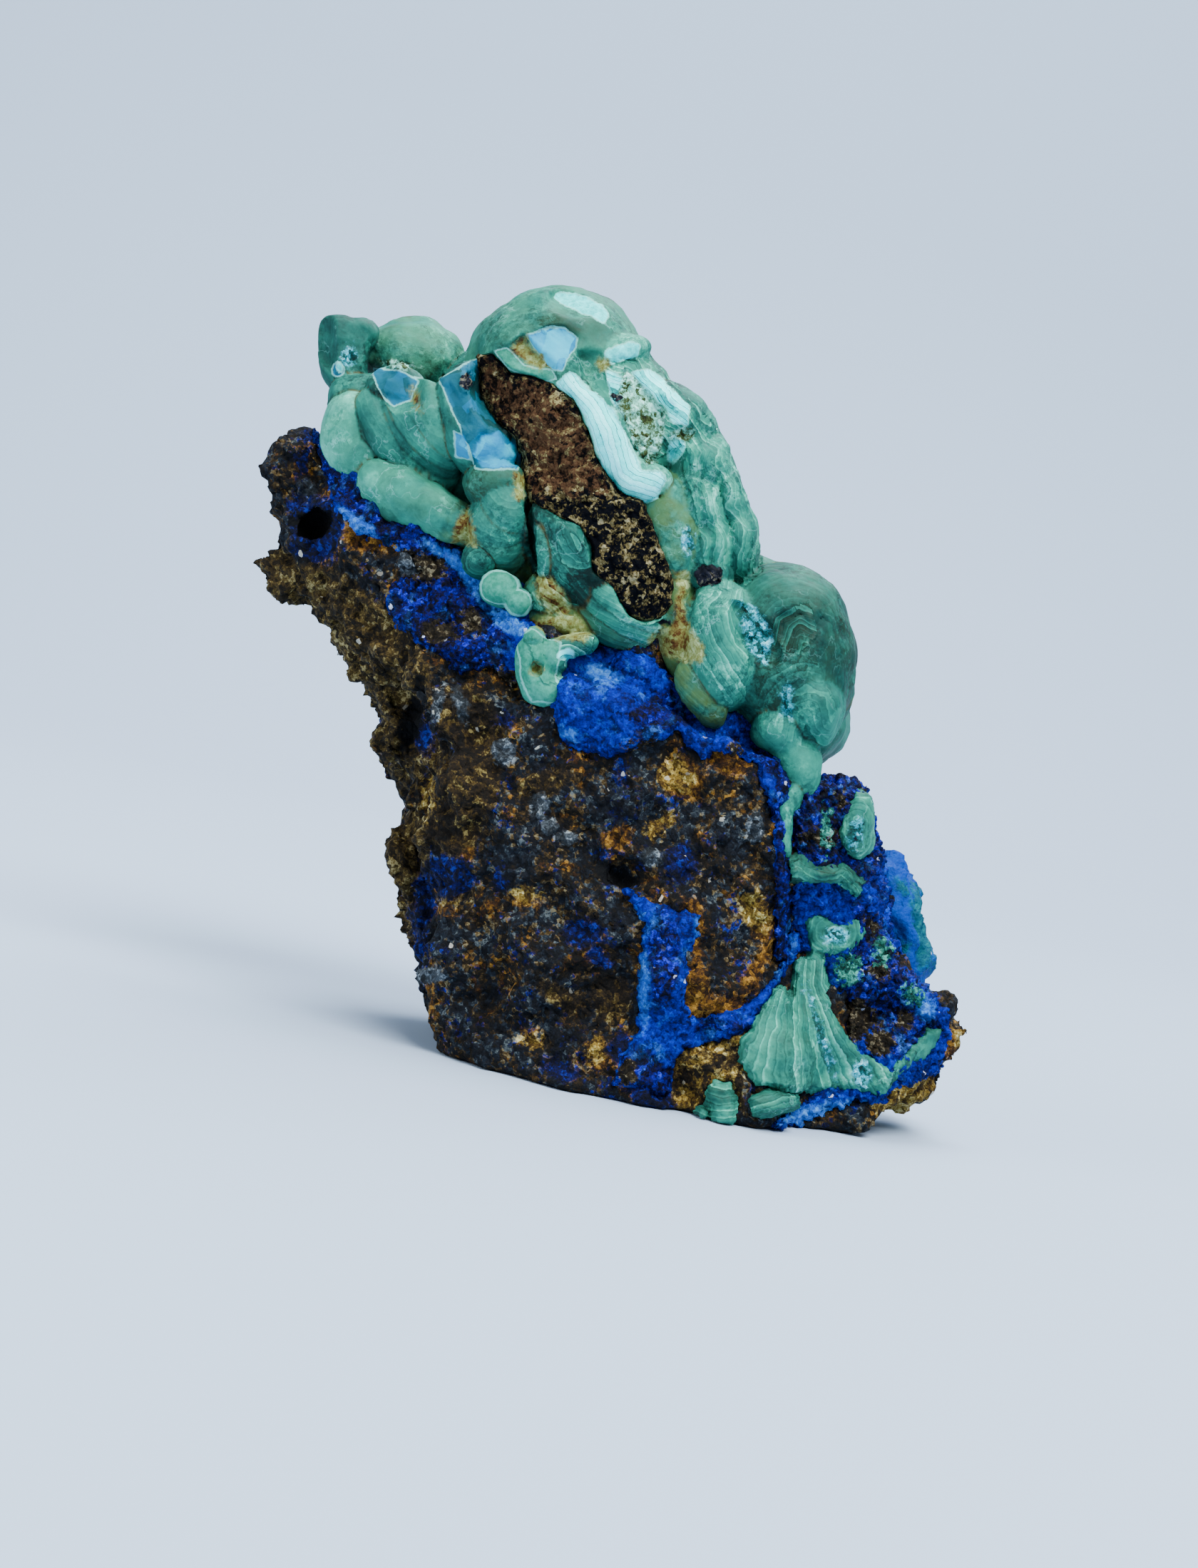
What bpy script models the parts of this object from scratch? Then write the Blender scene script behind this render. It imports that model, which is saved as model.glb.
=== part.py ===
"""Azurite and malachite specimen: a broken piece of brown limonite rock with a botryoidal malachite cap.

Thin azurite crusts lie on the rock along the foot of the cap and down the right flank, and small malachite
growths sit on them. Everything is laid out in a view frame: a place is a column and a row of the photograph
and a depth in millimetres towards the viewer, and sizes are real millimetres. The frame then stands in the
world, +Z up, with the origin under the middle of the specimen, on its flat base.
"""

import math
from typing import NamedTuple

import bmesh
import bpy
from mathutils import Matrix, Vector, noise
from mathutils.bvhtree import BVHTree

# Driving dimensions, in millimetres and degrees
MM = 0.001
MM_PER_PIXEL = 0.0212
PICTURE_MIDDLE = (840.0, 1099.5)
VIEW_DISTANCE = 90.0
VIEW_PITCH = 2.5
VIEW_ROLL = 11.5
ORIGIN_IN_VIEW = (0.21, 1.9, -8.56)
GAP = 0.30
GAP_SPARE = 0.05

# Detail of the solids: grid sizes in millimetres and numbers of triangles
ROCK_GRID = 0.24
CAP_GRID = 0.18
CRUST_GRID = 0.17
CLEARANCE_GRID = 0.17
ROCK_TRIANGLES = 2900
CAP_TRIANGLES = 4200
SEAM_TRIANGLES = 450
PATCH_TRIANGLES = 480
VEIN_TRIANGLES = 330
FLANK_TRIANGLES = 420
SLAB_TRIANGLES = 150
FAN_TRIANGLES = 400
SMALL_TRIANGLES = 110
SLIVER = 0.002

# Roughness: (size of the bumps, height of the bumps), millimetres
ROCK_BUMPS = ((3.2, 0.70), (1.3, 0.42), (0.7, 0.22))
CRUST_BUMPS = ((0.8, 0.14), (0.45, 0.10))
CAP_BUMPS = ((1.6, 0.08),)


class Lump(NamedTuple):
    """A rounded growth: its place in the view, its half sizes along, across and through, and its turn."""

    across: float
    down: float
    depth: float
    half: tuple
    turn: float = 0.0


class Ribbon(NamedTuple):
    """A growth that follows a line of places, with one half width and half depth."""

    line: tuple
    half_width: float
    half_depth: float


class Slab(NamedTuple):
    """A block of rock: an outline of (column, row, front depth), cut through to a smaller back."""

    outline: tuple
    back: float
    back_share: float


class Crust(NamedTuple):
    """A growth that lies on the rock inside outlines of (column, row)."""

    outlines: tuple
    proud: float
    sunk: float


# The malachite cap: kidney-shaped lobes, from the left round to the right and then the back
CAP_LUMPS = {
    "left knob": Lump(482, 496, -1.4, (0.80, 1.20, 0.78), 8),
    "left knob neck": Lump(500, 560, -1.0, (0.85, 0.80, 0.80)),
    "rear left dome": Lump(578, 507, -3.0, (1.66, 1.26, 1.60)),
    "smooth left lobe": Lump(497, 618, -0.6, (1.02, 1.56, 1.15), 8),
    "long lower lobe": Lump(585, 708, 0.5, (1.78, 0.98, 1.15), -22),
    "outer shell": Lump(563, 622, 0.0, (0.95, 1.95, 1.15), 32),
    "middle shell": Lump(588, 608, 0.4, (0.88, 1.72, 1.10), 32),
    "inner shell": Lump(606, 592, 0.8, (0.80, 1.40, 0.95), 30),
    "shell window": Lump(552, 540, 0.2, (0.72, 0.60, 0.85)),
    "blue faces": Lump(668, 590, 0.9, (1.20, 1.75, 1.10), 18),
    "fan lobe": Lump(692, 716, 1.4, (0.92, 1.30, 1.10), 8),
    "fan lobe rim": Lump(704, 740, 1.1, (0.92, 1.18, 1.15), 12),
    "big lobe": Lump(818, 762, 1.7, (1.05, 2.05, 1.55), 33),
    "big lobe rim": Lump(802, 786, 1.3, (1.12, 2.40, 1.50), 36),
    "lower scallops": Lump(868, 845, 1.7, (1.50, 0.85, 1.20), -35),
    "lowest scallop": Lump(850, 865, 1.3, (1.50, 0.80, 1.15), -33),
    "cream lobe": Lump(778, 832, 1.5, (0.80, 0.86, 0.95), -30),
    "pale disc": Lump(700, 826, 1.9, (0.55, 0.55, 0.42)),
    "small disc": Lump(727, 845, 2.1, (0.38, 0.38, 0.36)),
    "swirl": Lump(672, 784, 1.4, (0.55, 0.50, 0.60)),
    "ochre shelf": Lump(795, 872, 1.4, (1.25, 0.62, 0.85), -6),
    "mint patch": Lump(758, 934, 2.5, (0.68, 1.15, 0.72), 12),
    "arc band": Lump(800, 905, 2.5, (0.85, 0.34, 0.60), 10),
    "left backing": Lump(612, 650, -1.0, (2.10, 2.30, 1.35), 20),
    "window backing": Lump(722, 668, -0.9, (1.55, 1.80, 1.40), 20),
    "middle backing": Lump(722, 770, 0.2, (1.50, 1.60, 1.10), 20),
    "main dome": Lump(782, 522, -0.5, (2.73, 2.53, 2.75)),
    "shoulder": Lump(868, 590, -0.2, (1.90, 2.50, 2.60), 28),
    "bright band": Lump(846, 612, 1.8, (0.62, 2.20, 1.00), 33),
    "bright band foot": Lump(905, 678, 1.8, (0.80, 0.60, 0.85)),
    "bright shell": Lump(868, 500, 0.9, (0.95, 0.50, 1.10), 20),
    "upper stripes": Lump(945, 590, 0.5, (1.35, 1.00, 1.85), -35),
    "first wavy lobe": Lump(976, 640, 0.6, (1.20, 0.72, 1.70), -10),
    "second wavy lobe": Lump(988, 686, 0.7, (1.25, 0.72, 1.65), -8),
    "third wavy lobe": Lump(1000, 732, 0.7, (1.22, 0.76, 1.60), -6),
    "fourth wavy lobe": Lump(1008, 775, 0.5, (1.20, 0.72, 1.55)),
    "smooth saddle": Lump(938, 745, 1.3, (0.95, 1.75, 1.25), 6),
    "banded lobe": Lump(1010, 905, 1.7, (1.10, 1.95, 1.40)),
    "right dome": Lump(1103, 925, 0.2, (2.06, 2.72, 2.55)),
    "right dome crown": Lump(1098, 868, 0.3, (1.75, 1.60, 2.20)),
    "lower tongue": Lump(1118, 1075, 1.3, (0.74, 1.12, 0.85), -4),
    "olive tongue": Lump(982, 965, 2.0, (0.80, 0.98, 0.75), 30),
    "yellow channel": Lump(948, 865, 1.2, (0.72, 1.95, 0.95), 8),
    "crown saddle": Lump(700, 575, -2.6, (2.30, 2.00, 1.70), 20),
    "right saddle": Lump(978, 800, -1.6, (1.85, 2.20, 1.90), 30),
    "rear top": Lump(742, 545, -3.9, (2.25, 2.35, 2.10)),
    "rear top bud": Lump(700, 640, -5.4, (1.35, 1.25, 1.20)),
    "rear left bud": Lump(560, 610, -3.9, (1.25, 1.45, 1.25)),
    "rear left": Lump(628, 672, -4.7, (1.45, 1.40, 1.35)),
    "rear shoulder": Lump(868, 655, -4.1, (2.20, 2.15, 2.20), 30),
    "rear shoulder bud": Lump(812, 745, -5.9, (1.45, 1.30, 1.25)),
    "rear wavy lobe": Lump(952, 740, -3.8, (1.75, 1.60, 1.90)),
    "rear right dome": Lump(1046, 872, -3.4, (2.00, 2.10, 2.10)),
    "rear right bud": Lump(958, 860, -5.3, (1.55, 1.50, 1.45)),
    "rear right foot": Lump(1118, 995, -3.0, (1.60, 1.75, 1.65)),
    "back": Lump(722, 805, -5.6, (1.75, 1.60, 1.40), 20),
    "back right": Lump(862, 905, -5.9, (1.80, 1.45, 1.45), 20),
    "back foot": Lump(1020, 1005, -5.0, (1.55, 1.35, 1.35), 20),
}
THIN_STRIP = Ribbon(((1112, 1120, 1.9), (1101, 1150, 2.2), (1100, 1192, 2.5)), 0.30, 0.34)

# Limonite core that shows where the cap is broken open
WINDOW_LUMPS = {
    "window top": Lump(706, 532, 1.0, (0.85, 0.72, 1.30), -25),
    "upper window": Lump(746, 572, 1.3, (1.18, 0.92, 1.50), -30),
    "middle window": Lump(772, 622, 1.5, (1.16, 1.10, 1.60)),
    "window waist": Lump(800, 672, 1.5, (1.28, 1.10, 1.60)),
    "wide window": Lump(845, 718, 1.5, (1.32, 1.05, 1.60)),
    "lower window": Lump(878, 770, 1.5, (1.18, 1.20, 1.60)),
    "window foot": Lump(892, 826, 1.4, (0.98, 0.98, 1.50)),
}
WINDOW_ROOT = Ribbon(((800, 700, -0.6), (885, 840, -0.8), (880, 920, -1.6)), 1.00, 1.30)

# Azurite crusts
SEAM = Crust(
    (
        (
            (438, 598),
            (466, 640),
            (500, 640),
            (640, 700),
            (745, 830),
            (752, 880),
            (740, 935),
            (716, 965),
            (690, 940),
            (640, 940),
            (598, 905),
            (545, 862),
            (545, 822),
            (590, 806),
            (560, 768),
            (500, 748),
            (466, 706),
        ),
    ),
    0.24,
    0.55,
)
PATCH = Crust(
    (
        (
            (770, 870),
            (830, 860),
            (905, 900),
            (985, 950),
            (1060, 950),
            (1100, 1030),
            (1112, 1120),
            (1104, 1345),
            (1084, 1345),
            (1078, 1140),
            (1050, 1062),
            (1010, 1052),
            (985, 1068),
            (950, 1024),
            (920, 1042),
            (850, 1062),
            (786, 1046),
            (776, 1000),
            (742, 975),
        ),
    ),
    0.24,
    0.55,
)
VEIN = Crust(
    (
        (
            (878, 1250),
            (925, 1270),
            (982, 1284),
            (968, 1330),
            (960, 1400),
            (966, 1428),
            (1035, 1418),
            (1075, 1385),
            (1098, 1345),
            (1112, 1300),
            (1128, 1320),
            (1080, 1400),
            (1055, 1445),
            (960, 1470),
            (944, 1500),
            (940, 1535),
            (862, 1520),
            (872, 1480),
            (893, 1450),
            (893, 1400),
            (905, 1300),
        ),
    ),
    0.24,
    0.55,
)
FLANK = Crust(
    (
        (
            (1112, 1220),
            (1112, 1120),
            (1150, 1080),
            (1192, 1056),
            (1212, 1100),
            (1232, 1150),
            (1246, 1240),
            (1262, 1350),
            (1300, 1385),
            (1330, 1425),
            (1334, 1462),
            (1312, 1502),
            (1270, 1525),
            (1240, 1545),
            (1200, 1510),
            (1190, 1400),
            (1130, 1300),
        ),
    ),
    0.24,
    0.55,
)
SLAB_LUMPS = {
    "rear slab": Lump(1256, 1288, -4.2, (0.95, 2.05, 1.60), 12),
    "rear slab foot": Lump(1272, 1350, -4.0, (0.85, 1.05, 1.35)),
}

# Small malachite growths on the azurite of the right flank
FAN = Crust(
    (
        (
            (1118, 1348),
            (1140, 1326),
            (1168, 1345),
            (1180, 1400),
            (1202, 1450),
            (1246, 1492),
            (1300, 1444),
            (1322, 1442),
            (1312, 1474),
            (1270, 1500),
            (1240, 1538),
            (1180, 1526),
            (1120, 1534),
            (1060, 1506),
            (1036, 1450),
            (1052, 1438),
            (1084, 1388),
            (1104, 1384),
        ),
        ((1128, 1290), (1150, 1280), (1175, 1298), (1206, 1286), (1216, 1312), (1196, 1344), (1136, 1346)),
    ),
    0.50,
    0.35,
)
RIDGE = Crust(
    (
        (
            (1098, 1200),
            (1122, 1196),
            (1152, 1212),
            (1186, 1208),
            (1216, 1232),
            (1216, 1256),
            (1195, 1262),
            (1176, 1246),
            (1150, 1246),
            (1104, 1240),
        ),
    ),
    0.45,
    0.35,
)
TEARDROP = Crust(
    (
        (
            (1200, 1102),
            (1224, 1112),
            (1234, 1150),
            (1230, 1192),
            (1206, 1210),
            (1178, 1194),
            (1172, 1165),
            (1188, 1138),
        ),
    ),
    0.50,
    0.35,
)
NODULE = Crust(
    (
        (
            (982, 1532),
            (1004, 1514),
            (1032, 1520),
            (1045, 1536),
            (1078, 1524),
            (1124, 1530),
            (1124, 1564),
            (1060, 1572),
            (1034, 1590),
            (998, 1584),
        ),
    ),
    0.48,
    0.35,
)

# The rock: the broken front, the receding flank, the arm under the cap and the ledges behind
ROCK_SLABS = {
    "front": Slab(
        (
            (598, 985, 2.2),
            (640, 942, 2.6),
            (745, 960, 3.0),
            (900, 985, 3.2),
            (1060, 1045, 3.0),
            (1098, 1110, 2.8),
            (1106, 1300, 2.9),
            (1112, 1420, 3.1),
            (1110, 1600, 3.2),
            (900, 1590, 3.9),
            (740, 1560, 3.5),
            (620, 1510, 2.4),
            (592, 1400, 1.6),
            (588, 1240, 1.8),
            (604, 1120, 2.2),
        ),
        -5.6,
        0.80,
    ),
    "flank": Slab(
        (
            (1020, 1040, 2.2),
            (1130, 1090, 1.8),
            (1196, 1108, 0.8),
            (1220, 1200, 0.3),
            (1232, 1290, 0.1),
            (1250, 1350, 0.0),
            (1290, 1392, -0.3),
            (1326, 1425, -0.8),
            (1350, 1452, -1.0),
            (1322, 1505, -0.4),
            (1288, 1552, 0.3),
            (1180, 1600, 1.6),
            (1050, 1600, 2.8),
        ),
        -3.8,
        0.84,
    ),
    "arm": Slab(
        (
            (450, 602, -0.3),
            (402, 600, -0.9),
            (374, 638, -1.2),
            (372, 694, -1.2),
            (398, 722, -0.6),
            (372, 768, -1.8),
            (366, 840, -1.9),
            (432, 836, -0.7),
            (468, 872, -0.2),
            (540, 950, 1.2),
            (640, 985, 2.2),
            (745, 985, 2.9),
            (800, 900, 2.2),
            (760, 850, 1.6),
            (640, 760, 1.0),
            (545, 700, 0.6),
            (480, 650, 0.2),
        ),
        -4.4,
        0.90,
    ),
    "rear ledges": Slab(
        (
            (470, 846, -1.8),
            (522, 955, -1.6),
            (536, 1040, -1.4),
            (562, 1098, -1.0),
            (574, 1140, -1.0),
            (550, 1200, -1.4),
            (570, 1268, -0.6),
            (588, 1380, 0.4),
            (640, 1450, 0.6),
            (760, 1300, 0.6),
            (760, 1000, 0.4),
            (640, 860, 0.0),
        ),
        -5.8,
        0.90,
    ),
    "under the cap": Slab(
        (
            (500, 690, -0.6),
            (600, 700, 0.0),
            (760, 760, 0.4),
            (900, 850, 1.2),
            (1000, 890, 1.0),
            (1090, 980, 1.2),
            (1110, 1090, 1.6),
            (960, 1100, 2.4),
            (700, 1000, 2.2),
            (560, 860, 0.8),
        ),
        -4.6,
        0.84,
    ),
    "back block": Slab(
        (
            (600, 1120, -3.0),
            (720, 980, -3.0),
            (960, 1000, -3.0),
            (1110, 1130, -3.0),
            (1180, 1330, -3.0),
            (1190, 1600, -3.0),
            (900, 1600, -3.0),
            (690, 1540, -3.0),
            (610, 1420, -3.0),
        ),
        -8.2,
        0.72,
    ),
}
ROCK_LUMPS = {
    "khaki column": Lump(645, 1075, 1.9, (0.95, 2.70, 1.10), 4),
    "laminated chunk": Lump(988, 1508, 3.1, (1.10, 1.05, 0.95)),
    "spur": Lump(1330, 1450, -1.2, (0.62, 0.45, 0.70)),
    "upper knob": Lump(412, 650, -1.2, (0.95, 1.20, 0.95)),
    "tan ledge": Lump(388, 797, -2.4, (0.86, 0.98, 1.00)),
    "ochre ledge": Lump(490, 876, -1.6, (1.00, 0.70, 1.20), -40),
    "lower left ledge": Lump(566, 1215, -1.6, (0.62, 1.25, 1.20)),
}
ROCK_PITS = {
    "deep hole": Lump(434, 730, 0.2, (0.60, 0.42, 1.50)),
    "left hollow": Lump(578, 1000, 0.2, (0.40, 1.30, 1.10), 12),
    "dark crack": Lump(878, 1222, 3.5, (0.50, 0.24, 0.85), -35),
    "notch by the chunk": Lump(940, 1505, 4.1, (0.18, 0.80, 0.60)),
    "ledge under the spur": Lump(1335, 1510, -0.6, (0.90, 0.50, 1.60), 30),
    "left ledge": Lump(520, 1120, -2.0, (0.70, 0.36, 1.60), -20),
    "back notch": Lump(1000, 1250, -8.6, (1.60, 0.60, 1.30), 25),
    "back hollow": Lump(760, 1260, -8.8, (1.10, 1.70, 1.30), -15),
}


def view_axes():
    """The view's right, up and towards-the-viewer directions in the world, as a matrix's columns."""
    pitch, roll = math.radians(VIEW_PITCH), math.radians(VIEW_ROLL)
    level = Vector((1.0, 0.0, 0.0))
    upright = Vector((0.0, math.sin(pitch), math.cos(pitch)))
    right = math.cos(roll) * level + math.sin(roll) * upright
    up = math.cos(roll) * upright - math.sin(roll) * level
    return Matrix((right, up, right.cross(up))).transposed()


VIEW = view_axes()
VIEWER = VIEW @ Vector((0.0, 0.0, VIEW_DISTANCE)) - Vector(ORIGIN_IN_VIEW)


def place(across, down, depth):
    """World position in millimetres of a point of the view, DEPTH in front of its middle plane."""
    reach = MM_PER_PIXEL * (VIEW_DISTANCE - depth) / VIEW_DISTANCE
    right = (across - PICTURE_MIDDLE[0]) * reach
    up = (PICTURE_MIDDLE[1] - down) * reach
    return VIEW @ Vector((right, up, depth)) - Vector(ORIGIN_IN_VIEW)


def picture_point(point):
    """Column and row of the photograph where a world point shows."""
    right, up, depth = VIEW.transposed() @ (point + Vector(ORIGIN_IN_VIEW))
    reach = MM_PER_PIXEL * (VIEW_DISTANCE - depth) / VIEW_DISTANCE
    return PICTURE_MIDDLE[0] + right / reach, PICTURE_MIDDLE[1] - up / reach


def inside(outline, column, row):
    """Whether a picture point is inside an outline."""
    within = False
    for (x0, y0), (x1, y1) in zip(outline, outline[1:] + outline[:1]):
        if (y0 > row) != (y1 > row) and column < x0 + (row - y0) * (x1 - x0) / (y1 - y0):
            within = not within
    return within


def add_lump(mesh, lump):
    """Adds one ellipsoid to a bmesh."""
    turned = VIEW @ Matrix.Rotation(math.radians(lump.turn), 3, "Z")
    stretched = turned @ Matrix.Diagonal(lump.half)
    matrix = Matrix.Translation(place(lump.across, lump.down, lump.depth)) @ stretched.to_4x4()
    bmesh.ops.create_icosphere(mesh, subdivisions=3, radius=1.0, matrix=matrix)


def add_ribbon(mesh, ribbon):
    """Adds a row of overlapping ellipsoids along a ribbon's line."""
    width, thick = ribbon.half_width, ribbon.half_depth
    for start, end in zip(ribbon.line, ribbon.line[1:]):
        length = (place(*end) - place(*start)).length
        steps = max(1, math.ceil(length / (0.6 * width)))
        for step in range(steps + 1):
            share = step / steps
            spot = [a + (b - a) * share for a, b in zip(start, end)]
            add_lump(mesh, Lump(*spot, (width, width, thick)))


def add_slab(mesh, slab):
    """Adds a block whose back is its front outline drawn in towards the middle."""
    columns = [point[0] for point in slab.outline]
    rows = [point[1] for point in slab.outline]
    middle = (sum(columns) / len(columns), sum(rows) / len(rows))
    front, back = [], []
    for column, row, depth in slab.outline:
        inner_column = middle[0] + (column - middle[0]) * slab.back_share
        inner_row = middle[1] + (row - middle[1]) * slab.back_share
        front.append(mesh.verts.new(place(column, row, depth)))
        back.append(mesh.verts.new(place(inner_column, inner_row, slab.back)))
    faces = [mesh.faces.new(front), mesh.faces.new(reversed(back))]
    for index, vertex in enumerate(front):
        ahead = (index + 1) % len(front)
        faces.append(mesh.faces.new((vertex, back[index], back[ahead], front[ahead])))
    bmesh.ops.triangulate(mesh, faces=faces)
    bmesh.ops.recalc_face_normals(mesh, faces=mesh.faces)


def new_object(name, working, collection):
    """Makes an object of a bmesh, and frees the bmesh."""
    mesh = bpy.data.meshes.new(name)
    working.to_mesh(mesh)
    working.free()
    made = bpy.data.objects.new(name, mesh)
    collection.objects.link(made)
    return made


def update_mesh(target, working):
    """Writes a bmesh back to an object, and frees the bmesh."""
    working.to_mesh(target.data)
    working.free()


def hide_helper(helper):
    """Leaves a cutter out of renders."""
    helper.hide_render = True
    helper.display_type = "WIRE"
    return helper


def freeze(target):
    """Replaces an object's mesh by the one its modifiers give."""
    bpy.context.view_layer.update()
    graph = bpy.context.evaluated_depsgraph_get()
    frozen = bpy.data.meshes.new_from_object(target.evaluated_get(graph))
    target.modifiers.clear()
    old = target.data
    target.data = frozen
    bpy.data.meshes.remove(old)


def reskin(target, grid):
    """Gives an object one even skin on a grid; shapes that overlap are joined."""
    remesh = target.modifiers.new("One skin", "REMESH")
    remesh.mode = "VOXEL"
    remesh.voxel_size = grid
    freeze(target)


def melt(target, grid):
    """Joins overlapping shapes into one skin and eases the grid's steps."""
    reskin(target, grid)
    smooth = target.modifiers.new("Ease", "SMOOTH")
    smooth.factor = 0.5
    smooth.iterations = 2
    freeze(target)


def roughen(target, bumps, seed):
    """Moves the skin in and out by fractal noise; every bump is a (size, height) pair."""
    shift = Vector((seed * 7.3, seed * 3.1, seed * 5.7))
    moves = []
    for vertex in target.data.vertices:
        height = 0.0
        for size, strength in bumps:
            height += strength * noise.fractal(vertex.co / size + shift, 0.8, 2.1, 2)
        moves.append(vertex.co + vertex.normal * height)
    for vertex, moved in zip(target.data.vertices, moves):
        vertex.co = moved
    target.data.update()


def grown(name, collection, grid, bumps, seed, lumps=(), ribbons=(), slabs=()):
    """One rough skin over the given shapes."""
    working = bmesh.new()
    for slab in slabs:
        add_slab(working, slab)
    for lump in lumps:
        add_lump(working, lump)
    for ribbon in ribbons:
        add_ribbon(working, ribbon)
    target = new_object(name, working, collection)
    melt(target, grid)
    roughen(target, bumps, seed)
    reskin(target, grid)
    return target


def crust_on(rock, name, crust, bumps, seed, collection):
    """A crust on the rock faces that the viewer sees inside the crust's outlines."""
    working = bmesh.new()
    working.from_mesh(rock.data)
    tree = BVHTree.FromBMesh(working)
    hidden = []
    for face in working.faces:
        centre = face.calc_center_median()
        column, row = picture_point(centre)
        away = centre - VIEWER
        seen = away.dot(face.normal) < 0.0 and any(inside(line, column, row) for line in crust.outlines)
        if seen:
            hit = tree.ray_cast(VIEWER, away.normalized())
            seen = hit[3] is not None and hit[3] > away.length - GAP
        if not seen:
            hidden.append(face)
    bmesh.ops.delete(working, geom=hidden, context="FACES")
    target = new_object(name, working, collection)
    thick = target.modifiers.new("Crust", "SOLIDIFY")
    thick.thickness = crust.proud + crust.sunk
    thick.offset = (crust.proud - crust.sunk) / (crust.proud + crust.sunk)
    melt(target, CRUST_GRID)
    roughen(target, bumps, seed)
    reskin(target, CRUST_GRID)
    return target


def clearance(name, sources, gap, cutters):
    """A hidden cutter: the given objects, grown by the gap and joined."""
    working = bmesh.new()
    for source in sources:
        working.from_mesh(source.data)
    cutter = hide_helper(new_object(name, working, cutters))
    grow = cutter.modifiers.new("Grow", "DISPLACE")
    grow.strength = gap
    grow.mid_level = 0.0
    melt(cutter, CLEARANCE_GRID)
    return cutter


def subtract(target, cutter):
    """Cuts one object out of another."""
    boolean = target.modifiers.new("Cut", "BOOLEAN")
    boolean.operation = "DIFFERENCE"
    boolean.solver = "EXACT"
    boolean.object = cutter
    freeze(target)


def body_of(start, seen):
    """The vertices that edges join to the given one."""
    body, front = [], [start]
    seen.add(start)
    while front:
        vertex = front.pop()
        body.append(vertex)
        for edge in vertex.link_edges:
            other = edge.other_vert(vertex)
            if other not in seen:
                seen.add(other)
                front.append(other)
    return body


def keep_largest(target):
    """Drops crumbs that a cut left loose."""
    working = bmesh.new()
    working.from_mesh(target.data)
    seen, bodies = set(), []
    for start in working.verts:
        if start not in seen:
            bodies.append(body_of(start, seen))
    bodies.sort(key=len)
    crumbs = [vertex for body in bodies[:-1] for vertex in body]
    bmesh.ops.delete(working, geom=crumbs, context="VERTS")
    update_mesh(target, working)


def thin_out(target, triangles):
    """Reduces an object to about the given number of triangles."""
    target.data.calc_loop_triangles()
    decimate = target.modifiers.new("Fewer faces", "DECIMATE")
    decimate.ratio = min(1.0, triangles / len(target.data.loop_triangles))
    decimate.use_collapse_triangulate = True
    freeze(target)


def drop_slivers(target):
    """Merges points that a cut left almost in the same place."""
    working = bmesh.new()
    working.from_mesh(target.data)
    bmesh.ops.remove_doubles(working, verts=working.verts, dist=SLIVER)
    bmesh.ops.triangulate(working, faces=working.faces)
    update_mesh(target, working)


def floor_cutter(cutters):
    """A block below the resting plane."""
    working = bmesh.new()
    block = Matrix.Translation((0.0, 0.0, -10.0)) @ Matrix.Diagonal((60.0, 60.0, 20.0, 1.0))
    bmesh.ops.create_cube(working, size=1.0, matrix=block)
    return hide_helper(new_object("floor_cutter", working, cutters))


def paint(target, colour, roughness):
    """Gives an object its own material."""
    material = bpy.data.materials.new(target.name)
    material.use_nodes = True
    shader = material.node_tree.nodes["Principled BSDF"]
    shader.inputs["Base Color"].default_value = (*colour, 1.0)
    shader.inputs["Roughness"].default_value = roughness
    shader.inputs["Metallic"].default_value = 0.0
    target.data.materials.clear()
    target.data.materials.append(material)


def finish(target, grid, triangles, floor, colour, roughness):
    """Thins an object out, stands it on the floor, colours it and brings it to metres."""
    keep_largest(target)
    reskin(target, grid)
    keep_largest(target)
    thin_out(target, triangles)
    subtract(target, floor)
    drop_slivers(target)
    keep_largest(target)
    paint(target, colour, roughness)
    target.data.transform(Matrix.Scale(MM, 4))
    target.data.shade_flat()


def build_malachite_cap(specimen, cutters):
    """The cap, with a way cut through it for the limonite core."""
    cap = grown("malachite_cap", specimen, CAP_GRID, CAP_BUMPS, 1, CAP_LUMPS.values(), [THIN_STRIP])
    core = grown("window_core", cutters, CAP_GRID, CAP_BUMPS, 2, WINDOW_LUMPS.values(), [WINDOW_ROOT])
    hide_helper(core)
    subtract(cap, clearance("window_clearance", [core], GAP, cutters))
    return cap


def build_rock(specimen):
    """The rock, before the growths are let into it."""
    return grown(
        "matrix",
        specimen,
        ROCK_GRID,
        ROCK_BUMPS,
        10,
        [*ROCK_LUMPS.values(), *WINDOW_LUMPS.values()],
        [WINDOW_ROOT],
        ROCK_SLABS.values(),
    )


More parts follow.
